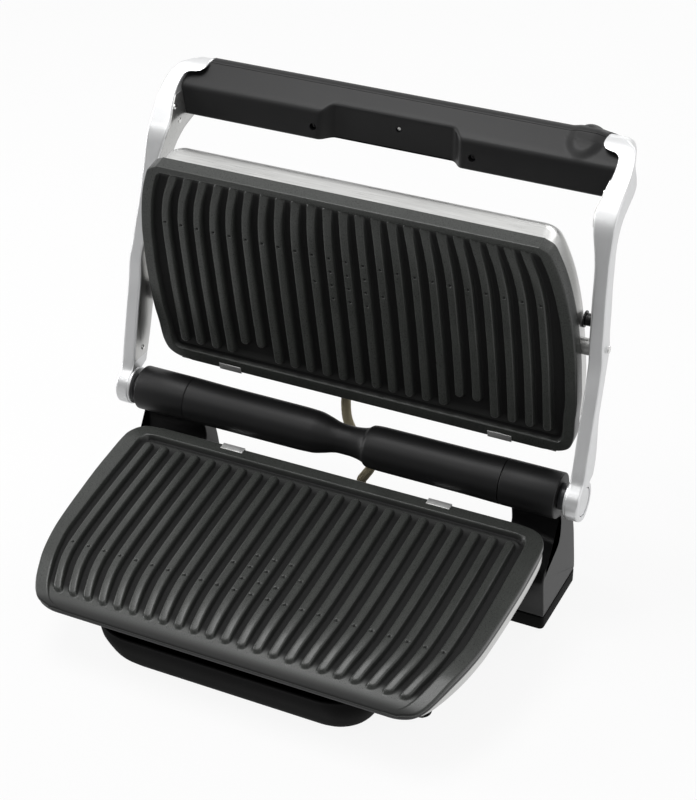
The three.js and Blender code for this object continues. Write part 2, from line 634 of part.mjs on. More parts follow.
function clipNotch(plate, place) {
  const low = plate.halfWidth - place.side - FIT;
  const high = low + place.width + FIT * 2;
  const back = -plate.back + CLIP.recess;
  const depth = plate.skirtDepth ?? LOWER_HOUSING.waist;
  const leg = box(low, high, -plate.back - OVERRUN, back + CLIP.leg + FIT, -OVERRUN, depth);
  const hookEnd = back + CLIP.hook + FIT;
  const hook = box(low, high, -plate.back - OVERRUN, hookEnd, -OVERRUN, PLATE.rimDepth + CLIP.sheet + FIT);
  return [leg, hook];
}

const pieces = [];
function addPart(name, geometry, look) {
  pieces.push([name, welded(geometry), look]);
}

// Finishes
const steel = { color: 0xb9bbbd, metalness: 0.9, roughness: 0.35 };
const satin = { color: 0xd4d6d8, metalness: 0.7, roughness: 0.4 };
const nonstick = { color: 0x34363a, metalness: 0.3, roughness: 0.5 };
const black = { color: 0x232426, metalness: 0, roughness: 0.6 };
const rubber = { color: 0x151515, metalness: 0, roughness: 0.9 };
const dark = { color: 0x4a4c50, metalness: 0.5, roughness: 0.5 };
const beige = { color: 0xa39684, metalness: 0, roughness: 0.9 };
const green = { color: 0x2c5a3c, metalness: 0, roughness: 0.7 };
const clear = { color: 0x8f99a5, metalness: 0, roughness: 0.2 };

// Lower grill
const lowerNotches = [...clipNotch(LOWER_PLATE, LOWER_CLIP)];
const lowerNotchesBoth = [...lowerNotches, ...lowerNotches.map(mirrored)];
addPart('lower_plate', inFrame(cut(lowerPlateBody(), ...lowerNotchesBoth), LOWER_FRAME), nonstick);

const bezelRing = cut(
  planLoft(LOWER_PLATE, LOWER_EDGE_SHARES, [[0, BEZEL.inset], [LOWER_HOUSING.seat, BEZEL.inset]]),
  planLoft(LOWER_PLATE, LOWER_EDGE_SHARES, [
    [-OVERRUN, BEZEL.width - BEZEL.play], [LOWER_HOUSING.seat + OVERRUN, BEZEL.width - BEZEL.play],
  ]),
);
const bezel = cut(meet(bezelRing, bentSlab(bezelTop, bezelUnder)), ...lowerNotchesBoth);
addPart('lower_bezel', inFrame(bezel, LOWER_FRAME), black);

const housing = LOWER_HOUSING;
const panLevels = [
  [housing.top, housing.sideInset], [housing.brow, housing.sideInset], [housing.waist, housing.waistInset],
  [housing.base, housing.baseInset], [housing.seat, housing.panInset],
];
const panInside = [
  [0, housing.sideInset + housing.wall], [housing.brow, housing.sideInset + housing.wall],
  [housing.base - housing.wall, housing.baseInset + housing.wall],
  [housing.seat - housing.wall, housing.panInset],
];
const drainStart = LOWER_PLATE.reach - DRAIN.front;
const housingShell = cut(
  planLoft(LOWER_PLATE, LOWER_EDGE_SHARES, panLevels),
  planLoft(LOWER_PLATE, LOWER_EDGE_SHARES, panInside),
  bentSlab(() => -OVERRUN, (s) => bezelUnder(s) + FIT),
  box(-DRAIN.halfWidth, DRAIN.halfWidth, drainStart, drainStart + DRAIN.length, 0, housing.seat + OVERRUN),
);

// A push button through the left wall, kept in by its inner flange, with a spring against an inner stop
function releaseSet(plate, along, depth, wall, floor) {
  const outer = -plate.halfWidth - RELEASE.proud;
  const inner = outer + RELEASE.stem;
  const s0 = along;
  const s1 = s0 + RELEASE.length;
  const d0 = depth - RELEASE.height / 2;
  const d1 = depth + RELEASE.height / 2;
  const { lip, flange, spring, stop } = RELEASE;
  const stem = box(outer, inner, s0, s1, d0, d1);
  const plateEnd = box(inner - flange, inner, s0 - lip, s1 + lip, d0 - lip, d1 + lip);
  const hole = box(outer - OVERRUN, -plate.halfWidth + wall, s0 - FIT, s1 + FIT, d0 - FIT, d1 + FIT);
  const post = box(inner + spring, inner + spring + stop, s0, s1, d0, floor);
  const coiled = coil(0, 0, 0, spring - FIT * 2, RELEASE);
  coiled.rotateY(Math.PI / 2);
  coiled.translate(inner + FIT, (s0 + s1) / 2, depth);
  return { button: join(stem, plateEnd), hole, post, spring: coiled };
}

const releaseWall = RELEASE.stem - RELEASE.flange - RELEASE.proud - FIT;
const lowerRelease = releaseSet(LOWER_PLATE, RELEASE.lowerAlong, RELEASE.lower, releaseWall, housing.seat);
addPart('lower_housing', inFrame(join(cut(housingShell, lowerRelease.hole), meet(
  lowerRelease.post,
  planLoft(LOWER_PLATE, LOWER_EDGE_SHARES, panLevels),
)), LOWER_FRAME), steel);
addPart('lower_release_button', inFrame(lowerRelease.button, LOWER_FRAME), black);
addPart('lower_release_spring', inFrame(lowerRelease.spring, LOWER_FRAME), dark);

const clipSeat = { lower: bezelUnder(0) + FIT, upper: UPPER_PLATE.skirtDepth + FIT };
const lowerClip = clipBody(LOWER_PLATE, LOWER_CLIP, clipSeat.lower);
addPart('lower_clip_right', inFrame(lowerClip, LOWER_FRAME), satin);
addPart('lower_clip_left', inFrame(mirrored(lowerClip), LOWER_FRAME), satin);

// Heating element: one sheathed tube laid in passes under a plate
const elementRun = LOWER_PLATE.halfWidth - ELEMENT.side;
function elementBody(underside) {
  const depth = underside + ELEMENT.start + ELEMENT.radius;
  const points = [];
  for (let pass = 0; pass < ELEMENT.passes; pass += 1) {
    const s = ELEMENT.first + pass * ELEMENT.pitch;
    const side = pass % 2 === 0 ? 1 : -1;
    const reach = elementRun - ELEMENT.pitch / 2;
    points.push(new THREE.Vector3(-side * reach, s, depth), new THREE.Vector3(0, s, depth));
    points.push(new THREE.Vector3(side * reach, s, depth));
    if (pass + 1 < ELEMENT.passes) {
      points.push(new THREE.Vector3(side * elementRun, s + ELEMENT.pitch / 2, depth));
    }
  }
  return tube(points, ELEMENT.radius, ELEMENT.sides, ELEMENT.steps);
}

function bracketBodies(underside, sheet) {
  const under = underside + ELEMENT.start + ELEMENT.radius * 2 + FIT;
  const places = [];
  for (let pass = 0; pass < ELEMENT.passes; pass += 1) {
    const s = ELEMENT.first + pass * ELEMENT.pitch - BRACKET.length / 2;
    [-1, 1].forEach((side) => {
      const x = side * BRACKET.out - BRACKET.width / 2;
      places.push(box(x, x + BRACKET.width, s, s + BRACKET.length, under, sheet));
    });
  }
  return places;
}

const plateUnder = RIB.height + PLATE.floor;
const lowerSheet = planLoft(LOWER_PLATE, LOWER_EDGE_SHARES, [
  [SHEET.lower, BEZEL.width + FIT], [SHEET.lower + SHEET.thickness, BEZEL.width + FIT],
]);
addPart('lower_element', inFrame(elementBody(plateUnder), LOWER_FRAME), dark);

function probeBody(underside) {
  const from = underside + FIT;
  return rod('z', PROBE.radius, ELEMENT.sides * 2, [0, PROBE.along], from, from + PROBE.length);
}

function probeSpring(underside, sheet) {
  return coil(0, PROBE.along, underside + PROBE.length + FIT * 2, sheet - FIT, PROBE);
}

// Room in a reflector sheet for a release button and its stop
function releaseRoom(plate, along, depth) {
  const reach = RELEASE.stem + RELEASE.spring + RELEASE.stop - RELEASE.proud + FIT;
  return box(
    -plate.halfWidth - OVERRUN, -plate.halfWidth + reach,
    along - RELEASE.margin, along + RELEASE.length + RELEASE.margin, 0, depth,
  );
}
const lowerSheetCut = releaseRoom(LOWER_PLATE, RELEASE.lowerAlong, housing.seat);
const drainEnd = drainStart + DRAIN.clear;
const drainSheetCut = box(-DRAIN.halfWidth, DRAIN.halfWidth, drainStart, drainEnd, 0, housing.seat);
addPart('lower_reflector', inFrame(join(
  cut(lowerSheet, lowerSheetCut, drainSheetCut),
  ...bracketBodies(plateUnder, SHEET.lower),
), LOWER_FRAME), steel);
addPart('lower_probe', inFrame(probeBody(plateUnder), LOWER_FRAME), steel);
addPart('lower_probe_spring', inFrame(probeSpring(plateUnder, SHEET.lower), LOWER_FRAME), dark);

// Upper grill
const upperNotches = [...clipNotch(UPPER_PLATE, UPPER_CLIP)];
addPart('upper_plate', inFrame(
  cut(upperPlateBody(), ...upperNotches, ...upperNotches.map(mirrored)),
  UPPER_FRAME,
), nonstick);

const coverStart = UPPER_PLATE.skirtDepth + FIT;
const crownSpan = UPPER_CROWN.high - UPPER_CROWN.low;
const coverLevels = UPPER_RING_SHARES.map(([d, inset], i) => [
  i === 0 ? coverStart : d * UPPER_HOUSING.depth, UPPER_CROWN.low + inset * crownSpan,
]);
const coverInside = coverLevels.map(([d, inset], i) => [
  i === 0 ? d - OVERRUN : d - (i > 1 ? UPPER_HOUSING.wall : 0), inset + UPPER_HOUSING.wall,
]);
const coverSolid = planLoft(UPPER_PLATE, UPPER_EDGE_SHARES, coverLevels);
const coverHollow = planLoft(UPPER_PLATE, UPPER_EDGE_SHARES, coverInside);
const bossInner = UPPER_PLATE.halfWidth - STOP.boss / 2;
const sideBoss = meet(coverSolid, box(
  bossInner, UPPER_PLATE.halfWidth + OVERRUN,
  PIVOT.along - STOP.flange, STOP.along + STOP.flange * 2,
  coverStart, UPPER_HOUSING.depth - UPPER_HOUSING.wall,
));

// The stop slot: an arc about the pivot with round ends, in the upper grill's frame
function arcSlot(radius, from, to) {
  const away = Math.hypot(STOP.along - PIVOT.along, STOP.depth - PIVOT.depth);
  const start = Math.atan2(STOP.depth - PIVOT.depth, STOP.along - PIVOT.along);
  const end = start - STOP.swing * DEGREE;
  const points = [];
  const arc = (a, b, turnFrom, turnTo, r) => {
    for (let i = 0; i <= STOP.steps; i += 1) {
      const turn = turnFrom + ((turnTo - turnFrom) * i) / STOP.steps;
      points.push([a + r * Math.cos(turn), b + r * Math.sin(turn)]);
    }
  };
  const at = (turn) => [PIVOT.along + away * Math.cos(turn), PIVOT.depth + away * Math.sin(turn)];
  arc(...at(start), start, start + Math.PI, radius);
  arc(PIVOT.along, PIVOT.depth, start, end, away - radius);
  arc(...at(end), end + Math.PI, end + 2 * Math.PI, radius);
  arc(PIVOT.along, PIVOT.depth, end, start, away + radius);
  return prism('x', points.filter(([a, b], i) => {
    const [c, d] = points[(i + 1) % points.length];
    return Math.hypot(a - c, b - d) > WELD;
  }), from, to);
}

const pivotCentre = [PIVOT.along, PIVOT.depth];
const pivotBore = rod('x', PIVOT.radius + FIT, HINGE.steps, pivotCentre, bossInner - OVERRUN, ARM.span);
const stopSlot = arcSlot(STOP.tip + FIT, bossInner - OVERRUN, ARM.span);
const stopFlat = arcSlot(STOP.flange + FIT, STOP_FACE - FIT, ARM.span);
const bosses = cut(sideBoss, pivotBore, stopSlot, stopFlat);
const shellCover = cut(coverSolid, coverHollow);
const coverCuts = [pivotBore, stopSlot, stopFlat];
const conduitHole = rod(
  'y', CONDUIT.radius + FIT, CONDUIT.sides * 2, [CONDUIT.across, CONDUIT.depth],
  -UPPER_PLATE.back - OVERRUN, CONDUIT.end + PLATE.groove,
);
const upperRelease = releaseSet(
  UPPER_PLATE, RELEASE.upperAlong, RELEASE.upper, releaseWall, UPPER_HOUSING.depth,
);
const upperShell = cut(shellCover, ...coverCuts, ...coverCuts.map(mirrored), upperRelease.hole, conduitHole);
addPart('upper_housing', inFrame(join(
  upperShell, bosses, mirrored(bosses), meet(upperRelease.post, coverSolid),
), UPPER_FRAME), steel);
addPart('upper_release_button', inFrame(upperRelease.button, UPPER_FRAME), black);
addPart('upper_release_spring', inFrame(upperRelease.spring, UPPER_FRAME), dark);
const upperClip = clipBody(UPPER_PLATE, UPPER_CLIP, clipSeat.upper);
addPart('upper_clip_right', inFrame(upperClip, UPPER_FRAME), satin);
addPart('upper_clip_left', inFrame(mirrored(upperClip), UPPER_FRAME), satin);
addPart('upper_element', inFrame(elementBody(plateUnder), UPPER_FRAME), dark);
const upperSheet = planLoft(UPPER_PLATE, UPPER_EDGE_SHARES, [
  [SHEET.upper, PLATE.rim], [SHEET.upper + SHEET.thickness, PLATE.rim],
]);
const upperSheetCut = releaseRoom(UPPER_PLATE, RELEASE.upperAlong, UPPER_HOUSING.depth);
const pinRoom = box(
  bossInner - PIVOT.inside, UPPER_PLATE.halfWidth + OVERRUN,
  PIVOT.along - STOP.flange * 2, STOP.along + STOP.flange * 2, 0, UPPER_HOUSING.depth,
);
addPart('upper_reflector', inFrame(join(
  cut(upperSheet, upperSheetCut, pinRoom, mirrored(pinRoom), conduitHole),
  ...bracketBodies(plateUnder, SHEET.upper),
), UPPER_FRAME), steel);
addPart('upper_probe', inFrame(probeBody(plateUnder), UPPER_FRAME), steel);
addPart('upper_probe_spring', inFrame(probeSpring(plateUnder, SHEET.upper), UPPER_FRAME), dark);

// Arms: the side outline and the front outline are both cut from one bar
const armY = (share) => HINGE.setback + share * ARM.height;
const armZ = (share) => HINGE.height + share * ARM.height;
const hubStart = 130;
const hubSweep = 260;
const hubArc = Array.from({ length: HINGE.steps / 2 + 1 }, (_, i) => {
  const turn = (hubStart + (i / (HINGE.steps / 2)) * hubSweep) * DEGREE;
  return [HINGE.setback + ARM.hub * Math.cos(turn), HINGE.height + ARM.hub * Math.sin(turn)];
});
const armFront = ARM_FRONT_SHARES.map(([y, z]) => [armY(y), armZ(z)]);
const armRear = ARM_REAR_SHARES.map(([y, z]) => [armY(y), armZ(z)]);
const armSide = [...armFront, ...armRear, ...hubArc.slice().reverse()];
const armOut = ARM_OUT_SHARES.map(([x, z]) => [x * ARM.span, armZ(z)]);
const armIn = ARM_IN_SHARES.map(([x, z]) => [x * ARM.span, armZ(z)]);
const armBar = meet(
  prism('x', armSide, 0, ARM.span + OVERRUN),
  prism('y', [...armOut, ...armIn], HINGE.setback - ARM.hub - OVERRUN, HINGE.setback + ARM.height),
);
const armBottomIn = armIn[armIn.length - 1][0];
const hingeLine = [HINGE.setback, HINGE.height];
const armHub = rod('x', ARM.hub, HINGE.steps, hingeLine, armBottomIn - ARM.boss, armBottomIn + ARM.boss);

// The brushed strip let into the arm's inner face
const stripLine = ARM_IN_SHARES.slice(5).map(([x, z]) => [x * ARM.span, armZ(z)]);
function stripBody(grow, depth) {
  const line = stripLine.map(([x, z]) => [x - grow * OVERRUN, z]);
  const backLine = stripLine.slice().reverse().map(([x, z]) => [x + depth, z]);
  const border = ARM.border - grow * FIT;
  const side = drawnIn(armSide.map(([y, z]) => new THREE.Vector2(y, z)), border).map((p) => [p.x, p.y]);
  const bounds = box(
    0, ARM.span, 0, HINGE.setback + ARM.height,
    HINGE.height + ARM.stripLow - grow * FIT, HINGE.height + ARM.height - ARM.stripTop + grow * FIT,
  );
  return meet(
    prism('y', [...line, ...backLine], 0, HINGE.setback + ARM.height),
    prism('x', side, 0, ARM.span), bounds,
  );
}

const pivotYZ = worldYZ(UPPER_FRAME, PIVOT.along, PIVOT.depth);
const stopYZ = worldYZ(UPPER_FRAME, STOP.along, STOP.depth);
const armInAt = (z) => lookup(armIn.slice().reverse().map(([x, height]) => [height, x]), z);
const pivotEnd = armInAt(pivotYZ[1]) + PIVOT.grip;
const stopEnd = armInAt(stopYZ[1]) + PIVOT.grip;
const capFloor = ARM.span - HUB_CAP.depth;
const capRoom = HUB_CAP.radius + HUB_CAP.groove;
const capSeat = rod('x', capRoom, HUB_CAP.steps, hingeLine, capFloor - FIT, ARM.span + OVERRUN);
const shaftRoom = TOWER.shaft + FIT;
const shaftSocket = rod('x', shaftRoom, HUB_CAP.steps, hingeLine, TOWER.inner, HUB_CAP.shaftOut + FIT);
const pivotSocket = rod('x', PIVOT.radius + FIT, HINGE.steps, pivotYZ, 0, pivotEnd + FIT);
const stopSocket = rod('x', STOP.radius + FIT, HINGE.steps / 2, stopYZ, 0, stopEnd + FIT);
const stripSeat = stripBody(1, ARM.strip + FIT);
const armCover = cut(join(armBar, armHub), stripSeat, capSeat, shaftSocket, pivotSocket, stopSocket);
const rivets = RIVET_PLACE_SHARES.map(([y, z]) => {
  const face = armInAt(armZ(z));
  return rod('x', RIVET.radius, RIVET.steps, [armY(y), armZ(z)], face - RIVET.height, face + ARM.strip / 2);
});
const armStrip = join(cut(stripBody(0, ARM.strip), pivotSocket, stopSocket), ...rivets);
addPart('right_arm', armCover, satin);
addPart('left_arm', mirrored(armCover), satin);
addPart('right_arm_strip', armStrip, steel);
addPart('left_arm_strip', mirrored(armStrip), steel);

const hubCap = rod('x', HUB_CAP.radius, HUB_CAP.steps, hingeLine, capFloor, ARM.span);
addPart('right_hub_cap', hubCap, satin);
addPart('left_hub_cap', mirrored(hubCap), satin);
const hingeShaft = rod('x', TOWER.shaft, HUB_CAP.steps, hingeLine, HUB_CAP.shaftIn, HUB_CAP.shaftOut);
addPart('right_hinge_shaft', hingeShaft, steel);
addPart('left_hinge_shaft', mirrored(hingeShaft), steel);

const pinFrom = bossInner + FIT;
const pivotPin = join(
  rod('x', PIVOT.radius, HINGE.steps, pivotYZ, pinFrom - FIT * 2, pivotEnd),
  rod('x', PIVOT.flange, HINGE.steps, pivotYZ, pinFrom - FIT * 2 - PIVOT.head, pinFrom - FIT * 2),
);
addPart('right_pivot_pin', pivotPin, steel);
addPart('left_pivot_pin', mirrored(pivotPin), steel);
const stopPin = join(
  rod('x', STOP.flange, HINGE.steps, stopYZ, STOP_FACE, STOP_FACE + STOP.plate),
  rod('x', STOP.radius, HINGE.steps / 2, stopYZ, STOP_FACE, stopEnd),
  rod('x', STOP.tip, HINGE.steps / 2, stopYZ, STOP_FACE - STOP.tipLength, STOP_FACE + STOP.plate),
);
addPart('right_stop_pin', stopPin, black);
addPart('left_stop_pin', mirrored(stopPin), black);

// Handle: one moulding split into a front shell and a rear cover that carries the controls
const handleSide = HANDLE_SIDE_SHARES.map(([y, z]) => (
  [HANDLE.front + y * HANDLE.depth, HANDLE.bottom + z * HANDLE.height]
));
const handleEnd = ARM_IN_SHARES.slice(0, 8).map(([x, z]) => [x * ARM.span - FIT, armZ(z) - FIT]);
const [lowX, lowZ] = handleEnd[handleEnd.length - 1];
handleEnd[0][1] += OVERRUN;
handleEnd.push([lowX, lowZ - OVERRUN]);
const handleOutline = [...handleEnd, ...handleEnd.slice().reverse().map(([x, z]) => [-x, z])];
const handleBack = HANDLE.front + HANDLE.depth;
const handleBar = meet(
  prism('x', handleSide, -ARM.span, ARM.span),
  prism('y', handleOutline, HANDLE.front - OVERRUN, handleBack + OVERRUN),
);
const bumpFront = HANDLE.front + BUMP.depth;
const bumpCentre = [HANDLE.end - BUMP.side, HANDLE.bottom + BUMP.rise];
const bump = turned('y', [
  ...BUMP_SHARES.map(([r, y]) => [r * BUMP.radius, bumpFront + y * BUMP.round]),
  [BUMP.radius, handleBack], [0, handleBack],
], BUMP.steps, bumpCentre);
const gripEdge = Array.from({ length: GRIP.steps + 1 }, (_, i) => {
  const t = i / GRIP.steps;
  const ease = t * t * (3 - 2 * t);
  return [GRIP.halfWidth + GRIP.slope * t, HANDLE.front + GRIP.depth - (GRIP.depth + OVERRUN) * ease];
});
const gripCut = prism('z', [...gripEdge, ...gripEdge.slice().reverse().map(([x, y]) => [-x, y])],
  HANDLE.bottom - OVERRUN, HANDLE.bottom + HANDLE.height);
const handleWhole = cut(join(handleBar, bump), gripCut);
const handleTop = HANDLE.bottom + HANDLE.height + BUMP.radius;
const behind = box(
  -ARM.span, ARM.span, HANDLE.split, handleBack + OVERRUN, HANDLE.bottom - OVERRUN, handleTop,
);
const cavityHalf = HANDLE.end - CAVITY.side;
const cavityFront = HANDLE.front + CAVITY.depth;
const cavityBottom = HANDLE.bottom + CAVITY.floor;
const cavityTop = cavityBottom + CAVITY.height;
const cavity = box(-cavityHalf, cavityHalf, cavityFront, HANDLE.split + OVERRUN, cavityBottom, cavityTop);
const screwSide = GRIP.halfWidth + HANDLE_SCREW.side;
const screwPlaces = [
  [-screwSide, HANDLE_SCREW.sideRise, HANDLE_SCREW.sideDepth],
  [screwSide, HANDLE_SCREW.sideRise, HANDLE_SCREW.sideDepth],
  [HANDLE_SCREW.middle, HANDLE_SCREW.middleRise, HANDLE_SCREW.middleDepth],
].map(([x, rise, depth]) => [x, HANDLE.bottom + rise, HANDLE.front + depth]);
const screwEnd = HANDLE.split + HANDLE_SCREW.end;
const screwWell = HANDLE_SCREW.radius + HANDLE_SCREW.play;
const screwHoles = screwPlaces.map(([x, z, depth]) => (
  rod('y', screwWell, HANDLE_SCREW.steps, [x, z], HANDLE.front - OVERRUN, depth + HANDLE_SCREW.head)
));
const screwBores = screwPlaces.map(([x, z]) => (
  rod('y', HANDLE_SCREW.stem + FIT, HANDLE_SCREW.steps, [x, z], HANDLE.front, screwEnd + FIT)
));
const screws = screwPlaces.map(([x, z, depth]) => join(
  rod('y', HANDLE_SCREW.radius, HANDLE_SCREW.steps, [x, z], depth, depth + HANDLE_SCREW.head - FIT),
  rod('y', HANDLE_SCREW.stem, HANDLE_SCREW.steps, [x, z], depth, screwEnd),
));
addPart('handle_shell', cut(handleWhole, behind, cavity, ...screwHoles, ...screwBores), black);
['left', 'right', 'middle'].forEach((name, i) => addPart(`handle_screw_${name}`, screws[i], satin));

const buttonPlaces = Object.entries(BUTTON_PLACE_SHARES).map(([name, share]) => (
  [name, [share * cavityHalf, HANDLE.bottom + BUTTON.rise]]
));
const buttonWells = buttonPlaces.map(([, place]) => (
  rod('y', BUTTON.radius + BUTTON.gap, BUTTON.steps, place, HANDLE.split - OVERRUN, handleBack + OVERRUN)
));
const lensFloor = handleBack - LENS.depth;
const lensSeat = rod('y', LENS.radius + FIT, LENS.steps, bumpCentre, lensFloor - FIT, handleBack + OVERRUN);
addPart('handle_cover', cut(meet(handleWhole, behind), ...buttonWells, lensSeat, ...screwBores), black);
const lens = rod('y', LENS.radius, LENS.steps, bumpCentre, lensFloor, handleBack + LENS.proud);
addPart('indicator_lens', lens, clear);
const buttonFoot = HANDLE.split + BUTTON.cup;
buttonPlaces.forEach(([name, place]) => {
  const button = rod('y', BUTTON.radius, BUTTON.steps, place, buttonFoot, handleBack + BUTTON.proud);
  addPart(`${name}_button`, button, dark);
});
const boardBody = box(
  -cavityHalf + BOARD.border, cavityHalf - BOARD.border,
  cavityFront + FIT, cavityFront + FIT + BOARD.thickness,
  cavityBottom + FIT, cavityTop - FIT,
);
addPart('control_board', cut(boardBody, ...screwHoles.slice(2), ...screwBores.slice(2)), green);

// Towers, bushes and hinge tube
const towerShares = [[TOWER.inner, TOWER_IN_SHARES], [TOWER.outer, TOWER_OUT_SHARES]];
const towerColumn = loft(towerShares.map(([x, shares]) => shares.map(([y, z]) => (
  new THREE.Vector3(x, HINGE.setback + y * HINGE.height, z * HINGE.height)
))));
const barrel = rod('x', TOWER.barrel, HINGE.steps, hingeLine, TOWER.inner, TOWER.outer);
const bushBore = rod(
  'x', TOWER.bush + FIT, HUB_CAP.steps, hingeLine, TOWER.inner - OVERRUN, TOWER.outer + OVERRUN,
);
const tower = cut(join(towerColumn, barrel), bushBore);
addPart('right_tower', tower, black);
addPart('left_tower', mirrored(tower), black);
const bushEnd = armBottomIn - ARM.boss - BUSH.inset;
const bush = cut(
  join(
    rod('x', TOWER.bush, HUB_CAP.steps, hingeLine, TOWER.outer - BUSH.length, TOWER.outer + FIT),
    rod('x', BUSH.flange, HUB_CAP.steps, hingeLine, TOWER.outer + FIT, bushEnd),
  ),
  rod('x', TOWER.shaft + FIT, HUB_CAP.steps, hingeLine, TOWER.inner, ARM.span),
);
addPart('right_bush', bush, dark);
addPart('left_bush', mirrored(bush), dark);
const tubeProfile = TUBE_SHARES.map(([x, r]) => [r * TUBE.radius, x * TOWER.inner]);
const tubeBore = [[TUBE.bore, TOWER.inner], [TUBE.bore, -TOWER.inner]];
const closedProfile = [...tubeProfile, ...tubeBore, tubeProfile[0]];
addPart('hinge_tube', turned('x', closedProfile, TUBE.steps, hingeLine), black);

const towerFoot = TOWER_OUT_SHARES.filter(([, z]) => z === FOOT_SHARE);
const [footFront, footBack] = towerFoot.map(([y]) => HINGE.setback + y * HINGE.height);
const footTop = FOOT_SHARE * HINGE.height;
const footPad = prism('z', roundedRectangle(
  TOWER.inner + FOOT.inside, TOWER.outer + FOOT.outside, footFront - FOOT.front, footBack + FOOT.back,
  FOOT.radius, FOOT.steps,
), 0, footTop);
addPart('right_foot_pad', footPad, rubber);
addPart('left_foot_pad', mirrored(footPad), rubber);

// Base frame: its top is cut to the tilt of the lower grill
function seatHeight(y, depth) {
  const s = (depth * Math.sin(tilt) - y) / Math.cos(tilt);
  return worldYZ(LOWER_FRAME, s, depth)[1];
}
const seatDepth = housing.seat + FIT;
const baseStep = seatHeight(BASE.knee, seatDepth) - BASE.stepDrop;
const baseTail = baseStep - BASE.tailDrop;
const shellSide = (wall, bottom) => [
  [-BASE.front + wall, bottom], [-BASE.front + wall, seatHeight(-BASE.front, seatDepth) - wall],
  [BASE.knee - wall, seatHeight(BASE.knee, seatDepth) - wall], [BASE.knee - wall + FIT, baseStep - wall],
  [BASE.shelf - wall, baseStep - wall], [BASE.back - wall, baseTail - wall], [BASE.back - wall, bottom],
];
const baseSolid = prism('x', shellSide(0, BASE.bottom), -TOWER.inner, TOWER.inner);
const baseHollow = prism('x', shellSide(BASE.wall, 0), -TOWER.inner + BASE.wall, TOWER.inner - BASE.wall);
const railSide = [
  [-RAIL.front + RAIL.slope, BASE.bottom], [-RAIL.front, RAIL.top - RAIL.noseDrop],
  [-RAIL.front + RAIL.slope, RAIL.top],
  [RAIL.back, RAIL.top], [RAIL.back, BASE.bottom],
];
const rail = prism('x', railSide, RAIL.inner, RAIL.outer);
const coverTop = BASE.bottom + BASE.cover;
const coverSide = TOWER.inner - BASE.wall - FIT;
const coverBack = BASE.back - BASE.wall - FIT;
const coverFront = -BASE.front + BASE.wall + FIT;
const baseCover = join(
  box(-coverSide, coverSide, RAIL.back + FIT, coverBack, BASE.bottom, coverTop),
  box(-RAIL.inner + FIT, RAIL.inner - FIT, coverFront, coverBack, BASE.bottom, coverTop),
);
const conduitPoints = CONDUIT_ROUTE.map(([x, y, z]) => (
  new THREE.Vector3(x, HINGE.setback + y, HINGE.height + z)
));
const conduitFoot = conduitPoints[conduitPoints.length - 1];
const conduitWell = rod(
  'z', CONDUIT.radius + CONDUIT.play, CONDUIT.sides * 2, [conduitFoot.x, conduitFoot.y],
  BASE.tailDrop, baseStep,
);
const glandCentre = [GLAND.across, baseTail - GLAND.drop];
addPart('base_frame', cut(
  join(cut(baseSolid, baseHollow), rail, mirrored(rail)),
  rod('y', GLAND.radius + FIT, GLAND.steps, glandCentre, BASE.back - OVERRUN, BASE.back + OVERRUN),
  conduitWell,
), black);
addPart('base_cover', baseCover, black);
const frontFootCentre = [RAIL.outer - FRONT_FOOT.side, -RAIL.front + FRONT_FOOT.front];
const frontFoot = rod('z', FRONT_FOOT.radius, FRONT_FOOT.steps, frontFootCentre, 0, BASE.bottom);
addPart('right_front_foot', frontFoot, rubber);
addPart('left_front_foot', mirrored(frontFoot), rubber);
const gland = cut(
  rod('y', GLAND.radius, GLAND.steps, glandCentre, BASE.back - BASE.wall, BASE.back + GLAND.length),
  rod('y', GLAND.bore, GLAND.steps, glandCentre, 0, BASE.back + GLAND.length + OVERRUN),
);
addPart('cord_gland', gland, rubber);

// Drip tray
function trayRing(wall, z, shares) {
  const [, across, ahead, cornerShare] = shares;
  const halfWidth = TRAY.halfWidth * across - wall;
  const back = -BASE.front - TRAY.back;
  const corner = TRAY.cornerShare * TRAY.depth * cornerShare;
  const points = roundedRectangle(
    -halfWidth, halfWidth, back - TRAY.depth * ahead + wall, back - wall, corner - wall, TRAY.steps,
  );
  return points.map(([x, y]) => new THREE.Vector3(x, y, z));
}
const trayOuter = loft(TRAY_RING_SHARES.map((shares) => trayRing(0, shares[0] * TRAY.height, shares)));
const trayInner = loft([
  ...TRAY_RING_SHARES.map((shares) => (
    trayRing(TRAY.wall, Math.max(shares[0] * TRAY.height, TRAY.bottom), shares)
  )),
  trayRing(TRAY.wall, TRAY.height + OVERRUN, TRAY_RING_SHARES[TRAY_RING_SHARES.length - 1]),
]);
addPart('drip_tray', cut(trayOuter, trayInner), black);

// Conduit behind the hinge tube
addPart('conduit', tube(conduitPoints, CONDUIT.radius, CONDUIT.sides, CONDUIT.steps), beige);

// Assembly, stood on the ground and centred front to back
const all = pieces.map(([, geometry]) => {
  geometry.computeBoundingBox();
  return geometry.boundingBox;
});
const bounds = all.reduce((sum, one) => sum.union(one), new THREE.Box3());
const middle = (bounds.min.y + bounds.max.y) / 2;
const object = new THREE.Group();
object.name = 'contact_grill';
pieces.forEach(([name, geometry, look]) => {
  geometry.translate(0, -middle, -bounds.min.z);
  geometry.computeVertexNormals();
  const mesh = new THREE.Mesh(geometry, new THREE.MeshStandardMaterial(look));
  mesh.name = name;
  object.add(mesh);
});

export default object;
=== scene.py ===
import json
import math

